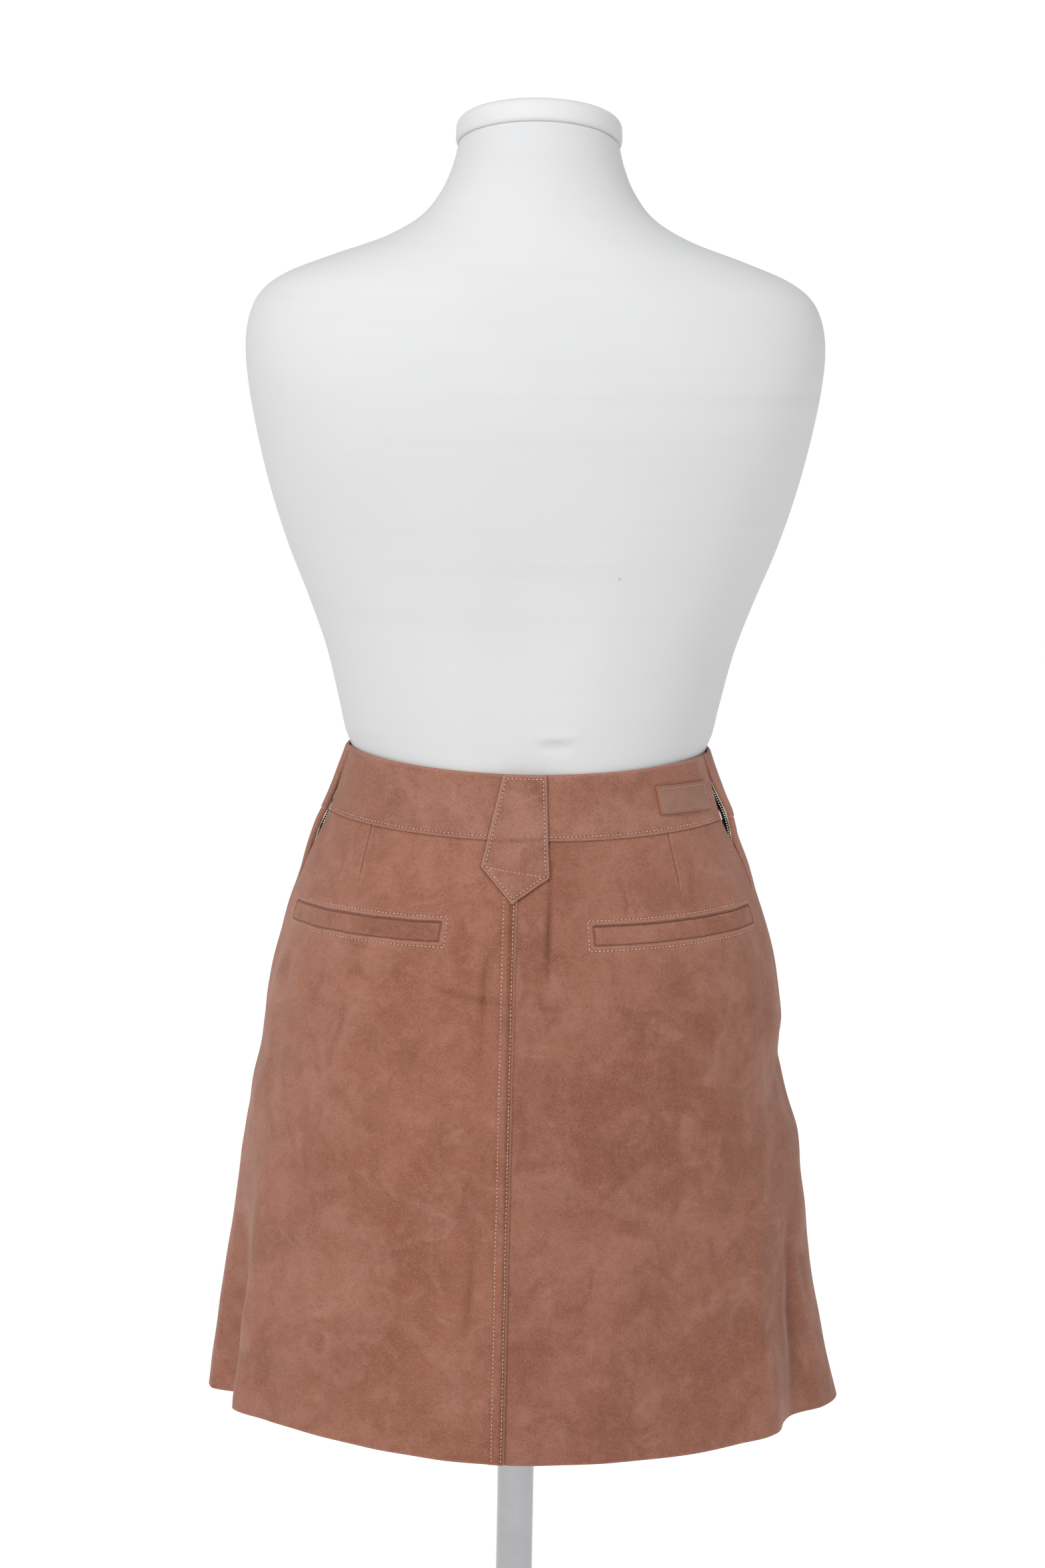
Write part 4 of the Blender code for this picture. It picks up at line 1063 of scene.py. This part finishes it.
def tooth_boxes(places, normals, runs, size):
    """Rings of small blocks with bevelled tops, one block at each place."""
    blocks = []
    for centre, up, ahead in zip(places, normals, runs):
        ahead = ahead / np.linalg.norm(ahead)
        side = np.cross(up, ahead)
        blocks.append([[centre + narrow * (side * x * size[0] + ahead * y * size[1]) + up * level * size[2]
                        for x, y in ((-0.5, -0.5), (0.5, -0.5), (0.5, 0.5), (-0.5, 0.5))]
                       for level, narrow in ((0.0, 1.0), (0.6, 1.0), (1.0, 0.6))])
    return blocks


def add_tubes(name, tubes, material):
    """One mesh of closed forms, each given as rings of points."""
    points, faces = [], []
    for rings in tubes:
        rings = np.asarray(rings)
        faces += ring_faces(*rings.shape[:2], len(points))
        points += rings.reshape(-1, 3).tolist()
    return add_mesh(name, points, faces, [material])


def zip_teeth(side, name, material):
    """A row on the tape behind the back edge, and one just under the raised front edge."""
    drops = np.arange(0.0070, ZIP_DROP - 0.001, TOOTH_PITCH)
    seam, gap = side_seam_deg(side, drops), side * half_gap_deg(side, drops)
    teeth = []
    for edge, from_edge, shift in ((seam - gap, 2.4 * MM, 0.0), (seam + gap, -0.4 * MM, TOOTH_PITCH / 2)):
        here = drops + shift
        degrees = edge + side * np.degrees(from_edge / OPENING_RADIUS)
        off = tape_off(side, degrees, here) if shift == 0.0 else -5.2 * MM + 0 * here
        places, normals = on_cloth(degrees, here, off, with_normals=True)
        teeth += tooth_boxes(places, normals, on_cloth(degrees, here + 0.001, off) - places, TOOTH_SIZE)
    add_tubes(name, teeth, material)


def tube(path, radius, sides=8):
    """Rings of a round tube along a path."""
    ahead = np.gradient(path, axis=0)
    ahead /= np.linalg.norm(ahead, axis=1, keepdims=True)
    side = np.cross(ahead, (0.0, 1.0, 0.3))
    side /= np.linalg.norm(side, axis=1, keepdims=True)
    other = np.cross(ahead, side)
    turn = np.linspace(0, 2 * math.pi, sides, endpoint=False)[None, :, None]
    radius = np.broadcast_to(radius, len(path))[:, None, None]
    return path[:, None] + radius * (np.cos(turn) * side[:, None] + np.sin(turn) * other[:, None])


def zip_piping(side, name, material):
    """The pale edge of the lining tape that shows just inside the raised front edge."""
    drops = np.linspace(0.006, ZIP_DROP - 0.004, 60)
    wave = 0.5 * MM * np.sin(drops * 420 + side) * ridge(drops, 41, 20)
    aside = half_gap_deg(side, drops) + np.degrees((0.2 * MM + wave) / OPENING_RADIUS)
    path = on_cloth(side_seam_deg(side, drops) + side * aside, drops, -3.5 * MM)
    add_tubes(name, [tube(path, 0.55 * MM)], material)


# --- The dress form and its stand ---------------------------------------------------------------------
def closed_rings(name, node, rings, material):
    """A closed solid through rings of points, flat across its two ends."""
    return add_mesh(name, rings.reshape(-1, 3), ring_faces(*rings.shape[:2]), [material], node)


def torso(material):
    """The torso, with a hollow along the spine, a smooth swell at the bust and a dimple in its cover."""
    runs = ((-0.328, -0.05, 50), (-0.05, 0.29, 170))
    heights = [np.linspace(low, high, count, endpoint=False) for low, high, count in runs]
    heights = np.concatenate([*heights, np.linspace(0.29, 0.399, 71)])[:, None]
    degrees = np.linspace(0, 360, 180, endpoint=False)[None]
    columns = [read_table(TORSO_SECTIONS, heights, k) for k in range(1, 6)]
    half_width, back, front, squareness, tilt = columns
    sine, cosine = np.sin(np.radians(degrees)), -np.cos(np.radians(degrees))
    across = np.sign(sine) * np.abs(sine) ** (2 / squareness)
    along = np.sign(cosine) * np.abs(cosine) ** (2 / squareness)
    bust = sum(bump(wrapped(degrees - 180 - s * BUST_ANGLE_DEG), BUST_SPREAD_DEG) for s in (-1, 1))
    out = BUST_OUT * bust * bump(heights - BUST_HEIGHT, BUST_REACH)
    spine = bump(wrapped(degrees), SPINE_SPREAD_DEG) * bump(heights - SPINE_HEIGHT, SPINE_REACH)
    out = out + SPINE_IN * spine
    out = out - 2.0 * MM * bump(degrees - 8.0, 7.0) * ridge(heights, 17.5, 6)
    out = out + 1.4 * MM * bump(degrees - 9.0, 9.0) * ridge(heights, 24.5, 6)
    y = np.where(along < 0, back, front) * along + out * np.where(along > 0, 1, -1)
    z = WAIST_HEIGHT + heights - y * np.tan(np.radians(tilt))
    rings = np.stack([half_width * across, y, z], -1)
    closed_rings("form_torso", "torso_form", rings, material)


def neck_cap(material):
    """The lid on the neck: a low padded drum, its rim rounded over and drawn in underneath."""
    turn = np.radians(np.linspace(0, 360, 128, endpoint=False))
    corner = np.linspace(0, math.pi / 2, 12)
    under = [(0.0, 0.80), (0.0, 0.945), (0.02, 0.975), (0.08, 0.995), (0.2, 1.003)]
    rim = [(0.62 + 0.38 * math.sin(a), 1.0 - 0.13 * (1 - math.cos(a)) - 0.004 * a) for a in corner]
    crown = [(1.0 + 0.05 * (1 - (r / 0.86) ** 2), r) for r in (0.80, 0.65, 0.45, 0.25, 0.08)]
    profile = np.array(under + [(0.35, 1.004), (0.5, 1.002)] + rim + crown)
    rise, reach = profile[:, 0, None] * CAP_THICKNESS, profile[:, 1, None]
    x = CAP_HALF_WIDTH * reach * np.sin(turn)[None]
    y = -CAP_HALF_DEPTH * reach * np.cos(turn)[None]
    tilt = math.radians(CAP_TILT_DEG)
    rings = np.stack([x, CAP_CENTRE[0] + y * math.cos(tilt) + rise * math.sin(tilt),
                      WAIST_HEIGHT + CAP_CENTRE[1] - y * math.sin(tilt) + rise * math.cos(tilt)], -1)
    closed_rings("form_neck_cap", "neck_cap", rings, material)


def rounded(x, y, radius, start_deg, end_deg, count):
    angles = np.radians(np.linspace(start_deg, end_deg, count))
    return [(x + radius * math.cos(a), y + radius * math.sin(a)) for a in angles]


def base(material):
    """The base: a disc with rounded edges, rising in a cove to a boss with a bore for the pole."""
    low, edge, cove, lip, chamfer = 1.5 * MM, BASE_EDGE, 6 * MM, 3 * MM, 0.8 * MM
    profile = [(BASE_RADIUS - low, 0.0)] + rounded(BASE_RADIUS - low, low, low, -60, 0, 6)
    profile += rounded(BASE_RADIUS - edge, BASE_THICKNESS - edge, edge, 0, 90, 9)
    profile += [(BOSS_RADIUS + 2 * cove, BASE_THICKNESS)]
    profile += rounded(BOSS_RADIUS + cove, BASE_THICKNESS + cove, cove, 270, 180, 8)
    profile += rounded(BOSS_RADIUS - lip, BOSS_TOP - lip, lip, 0, 90, 7)
    profile += [(BORE_RADIUS + chamfer, BOSS_TOP), (BORE_RADIUS, BOSS_TOP - chamfer)]
    profile += [(BORE_RADIUS, BORE_FLOOR)]
    turn = np.radians(np.linspace(0, 360, 160, endpoint=False))[None]
    radius, height = np.array(profile).T[..., None]
    rings = np.stack([radius * np.cos(turn), radius * np.sin(turn), height + 0 * turn], -1)
    closed_rings("stand_base", "base_plate", rings, material)


def paint_node(node, material):
    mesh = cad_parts[node].data
    mesh.materials.clear()
    mesh.materials.append(material)


def make_form():
    torso(form_cover("form_cover", 0.563))
    neck_cap(form_cover("cap_cover", 0.585, 0.012))
    base(base_paint())
    paint_node("pole", metal("pole_metal", (0.40, 0.40, 0.41), 0.20))
    paint_node("pole_socket", base_paint())


# --- Putting it together ------------------------------------------------------------------------------
def sew():
    """Every row of topstitching."""
    def on_band(degrees, drops):
        return BAND_PROUD + (band_relief(degrees, drops) + 0.05) * MM

    def on_tab(_, drops):
        return tab_seat(drops) - 0.05 * MM

    rows = Stitching()
    drops = np.linspace(0.0452, SKIRT_DROP - 0.0012, 40)
    for away in CENTRE_STITCHES:
        degrees = CENTRE_BACK_DEG - np.degrees(away / read_table(SKIRT_SECTIONS, drops, 1))
        rows.row(degrees, drops, (CENTRE_LAP_MM - 0.05) * MM)
    rows.finish("stitches_centre_back")

    rows = Stitching()
    drops = np.full(60, BAND_DROP - BAND_STITCH_UP)
    left, right = side_seam_deg(-1, drops[0]), side_seam_deg(1, drops[0])
    for start, end in ((left + 2.2, right - 3.0), (right + 4.0, 360 + left - 3.0)):
        rows.row(np.linspace(start, end, 60), drops, on_band)
    rows.finish("stitches_waistband")

    rows = Stitching()
    shoulder = TAB_WIDE_HALF - 2.4 * MM
    outline = inset([(-TAB_TOP_HALF, 0.0), (TAB_TOP_HALF, 0.0), (TAB_WIDE_HALF, TAB_WIDE_DROP),
                     (0.0, TAB_LENGTH), (-TAB_WIDE_HALF, TAB_WIDE_DROP)], TAB_STITCH_IN)
    bar = [(-shoulder, TAB_WIDE_DROP), (shoulder, TAB_WIDE_DROP)]
    for across, along in sides_of(outline + outline[:1], 24) + sides_of(bar, 20):
        rows.row(*tab_place(across, along), on_tab)
    rows.finish("stitches_tab")

    rows = Stitching()
    for side in (-1, 1):
        inner, outer, drop = POCKETS[side][:3]
        start = inner - POCKET_STITCH_OUT / pocket_stride(side)
        above, below = drop - POCKET_STITCH_OUT, drop + POCKET_HEIGHT + POCKET_STITCH_OUT
        line = [(inner + 0.84 * (outer - inner), above), (start, above), (start, below),
                (inner + 0.97 * (outer - inner), below)]
        for x, y in sides_of(line, 24):
            rows.row(CENTRE_BACK_DEG + side * x, y + pocket_skew(side, x, y), -0.08 * MM)
    rows.finish("stitches_pockets")

    rows = Stitching()
    wide, high = PATCH_WIDTH / 2 - PATCH_STITCH_IN, PATCH_HEIGHT / 2 - PATCH_STITCH_IN
    for x, y in sides_of([(-wide, -high), (wide, -high), (wide, high), (-wide, high), (-wide, -high)], 16):
        rows.row(*patch_place(x, y), PATCH_SEAT - 0.1 * MM, pitch=1.9 * MM, radius=0.17 * MM)
    rows.finish("stitches_patch")


def dart_shade_lines(material):
    """Painted shade along each dart: a thin line of shade colour at the bottom of its groove, on its sewn
    edge.
    """
    share = np.linspace(0, 1, 50)
    radius = 0.32 * MM * (1 - step(share - 0.5, 0.5) * 0.75)
    tubes = []
    for top_deg, top_drop, end_deg, end_drop in DARTS:
        degrees = CENTRE_BACK_DEG + top_deg + (end_deg - top_deg) * share
        drops = top_drop + (end_drop - top_drop) * share
        tubes.append(tube(on_cloth(degrees, drops, -0.55 * MM), radius, sides=6))
    add_tubes("dart_shade_lines", tubes, material)


def make_skirt():
    hides = {name: suede(name, *facts) for name, facts in SUEDES.items()}
    band, inset_hide = hides["suede_band"], hides["suede_welt"]
    pieces = {
        "back_left": back_panel(-1, "suede_back_left", "back_left", hides["suede_left"]),
        "back_right": back_panel(1, "suede_back_right", "back_right", hides["suede_right"]),
        "front": front_panel("suede_front", "front", hides["suede_front_panel"]),
        "band_back": waistband(False, "suede_waistband_back", "waistband_back", band),
        "band_front": waistband(True, "suede_waistband_front", "waistband_front", band),
        "tab": centre_tab("suede_centre_tab", "centre_tab", hides["suede_tab"]),
        "welt_left": welt(-1, "suede_welt_left", "welt_left", inset_hide),
        "welt_right": welt(1, "suede_welt_right", "welt_right", inset_hide),
        "patch": patch("leather_patch", "patch", smooth_leather()),
    }
    dark_tape = woven_tape("zip_tape", (0.045, 0.028, 0.026))
    cream = woven_tape("piping", (0.62, 0.52, 0.44))
    bright = metal("zip_metal", (0.72, 0.68, 0.62), 0.22)
    for side, label in ((-1, "left"), (1, "right")):
        pieces[f"tape_{label}"] = zip_tape(side, f"zip_tape_cloth_{label}", f"zip_tape_{label}", dark_tape)
        zip_teeth(side, f"zip_teeth_{label}", bright)
        zip_piping(side, f"zip_piping_{label}", cream)
        paint_node(f"zip_slider_{label}", bright)
    # Painted shade along the darts.
    dart_shade_lines(painted_shade_material("dart_shadow", (0.19, 0.066, 0.040)))
    sew()
    return pieces


# --- Floor, light and camera --------------------------------------------------------------------------
FLOOR_SIDES, FLOOR_GLOW, WORLD_LIGHT = 96, 0.84, 0.30
FLOOR_SWEEP = ((11.5, 0.0), (12.0, 0.0), (13.5, 0.2), (14.6, 0.8), (15.3, 1.8), (15.6, 3.0), (15.6, 4.8))
SOFTBOXES = (
    # name, place, what it is aimed at, size, power
    ("key", (-1.7, -2.3, 3.3), (0.0, 0.0, 0.75), 1.0, 82.0),
    ("fill", (1.9, -2.6, 2.1), (0.0, 0.0, 0.75), 1.6, 20.0),
    ("top", (0.2, -0.7, 3.9), (0.0, 0.0, 0.9), 1.8, 30.0),
)
CAMERA_AWAY, CAMERA_ABOVE_WAIST, CAMERA_ASIDE = 2.6, 0.455, -0.0035
CAMERA_PITCH_DEG, CAMERA_ROLL_DEG, LENS_MM = 10.38, 1.0, 90.9


def make_stage():
    """A pale round floor that sweeps up at its far edge, under soft light from above and in front."""
    turn = np.radians(np.arange(FLOOR_SIDES) * 360 / FLOOR_SIDES)
    points = [(r * math.cos(a), r * math.sin(a), z) for r, z in FLOOR_SWEEP for a in turn]
    faces = flipped(ring_faces(len(FLOOR_SWEEP), FLOOR_SIDES)[:-1])
    white = Nodes("floor_white", Roughness=0.9, Specular_IOR_Level=0.1, Emission_Color=(1.0, 1.0, 1.0, 1.0),
                  Emission_Strength=FLOOR_GLOW)
    cloud = white.remap(white.noise(0.7, 2.0), 0.3, 0.7)
    material = white.coloured(white.mix(cloud, (0.33, 0.33, 0.33), (0.36, 0.36, 0.36)))
    place_in_scene("floor", new_mesh("floor", points, faces, [material]))
    world = bpy.data.worlds.new("studio")
    world.use_nodes = True
    world.node_tree.nodes["Background"].inputs["Color"].default_value = (1.0, 1.0, 1.0, 1.0)
    world.node_tree.nodes["Background"].inputs["Strength"].default_value = WORLD_LIGHT
    bpy.context.scene.world = world
    for facts in SOFTBOXES:
        softbox(*facts)
    bpy.context.scene.view_settings.view_transform = "Standard"


def softbox(name, location, target, size, power):
    data = bpy.data.lights.new(name, "AREA")
    data.shape, data.size, data.energy = "SQUARE", size, power
    x, y, z = np.subtract(target, location)
    turn, pitch = -math.atan2(x, y), math.atan2(z, math.hypot(x, y))
    aim = Matrix.Rotation(turn, 4, "Z") @ Matrix.Rotation(math.pi / 2 + pitch, 4, "X")
    place_in_scene(name, data).matrix_world = Matrix.Translation(location) @ aim


def make_camera():
    data = bpy.data.cameras.new("camera")
    data.lens, data.sensor_width, data.sensor_fit = LENS_MM, 36.0, "AUTO"
    data.clip_end = 200.0
    camera = place_in_scene("camera", data)
    place = Matrix.Translation((CAMERA_ASIDE, -CAMERA_AWAY, WAIST_HEIGHT + CAMERA_ABOVE_WAIST))
    down = Matrix.Rotation(math.radians(90 - CAMERA_PITCH_DEG), 4, "X")
    camera.matrix_world = place @ down @ Matrix.Rotation(math.radians(CAMERA_ROLL_DEG), 4, "Z")
    bpy.context.scene.camera = camera


# Needle holes in painted shade.
THREAD, HOLE_SHADE = thread(), painted_shade_material("needle_hole_shade", HOLE_SHADE_COLOUR)
make_stage()
make_camera()
make_form()
make_skirt()
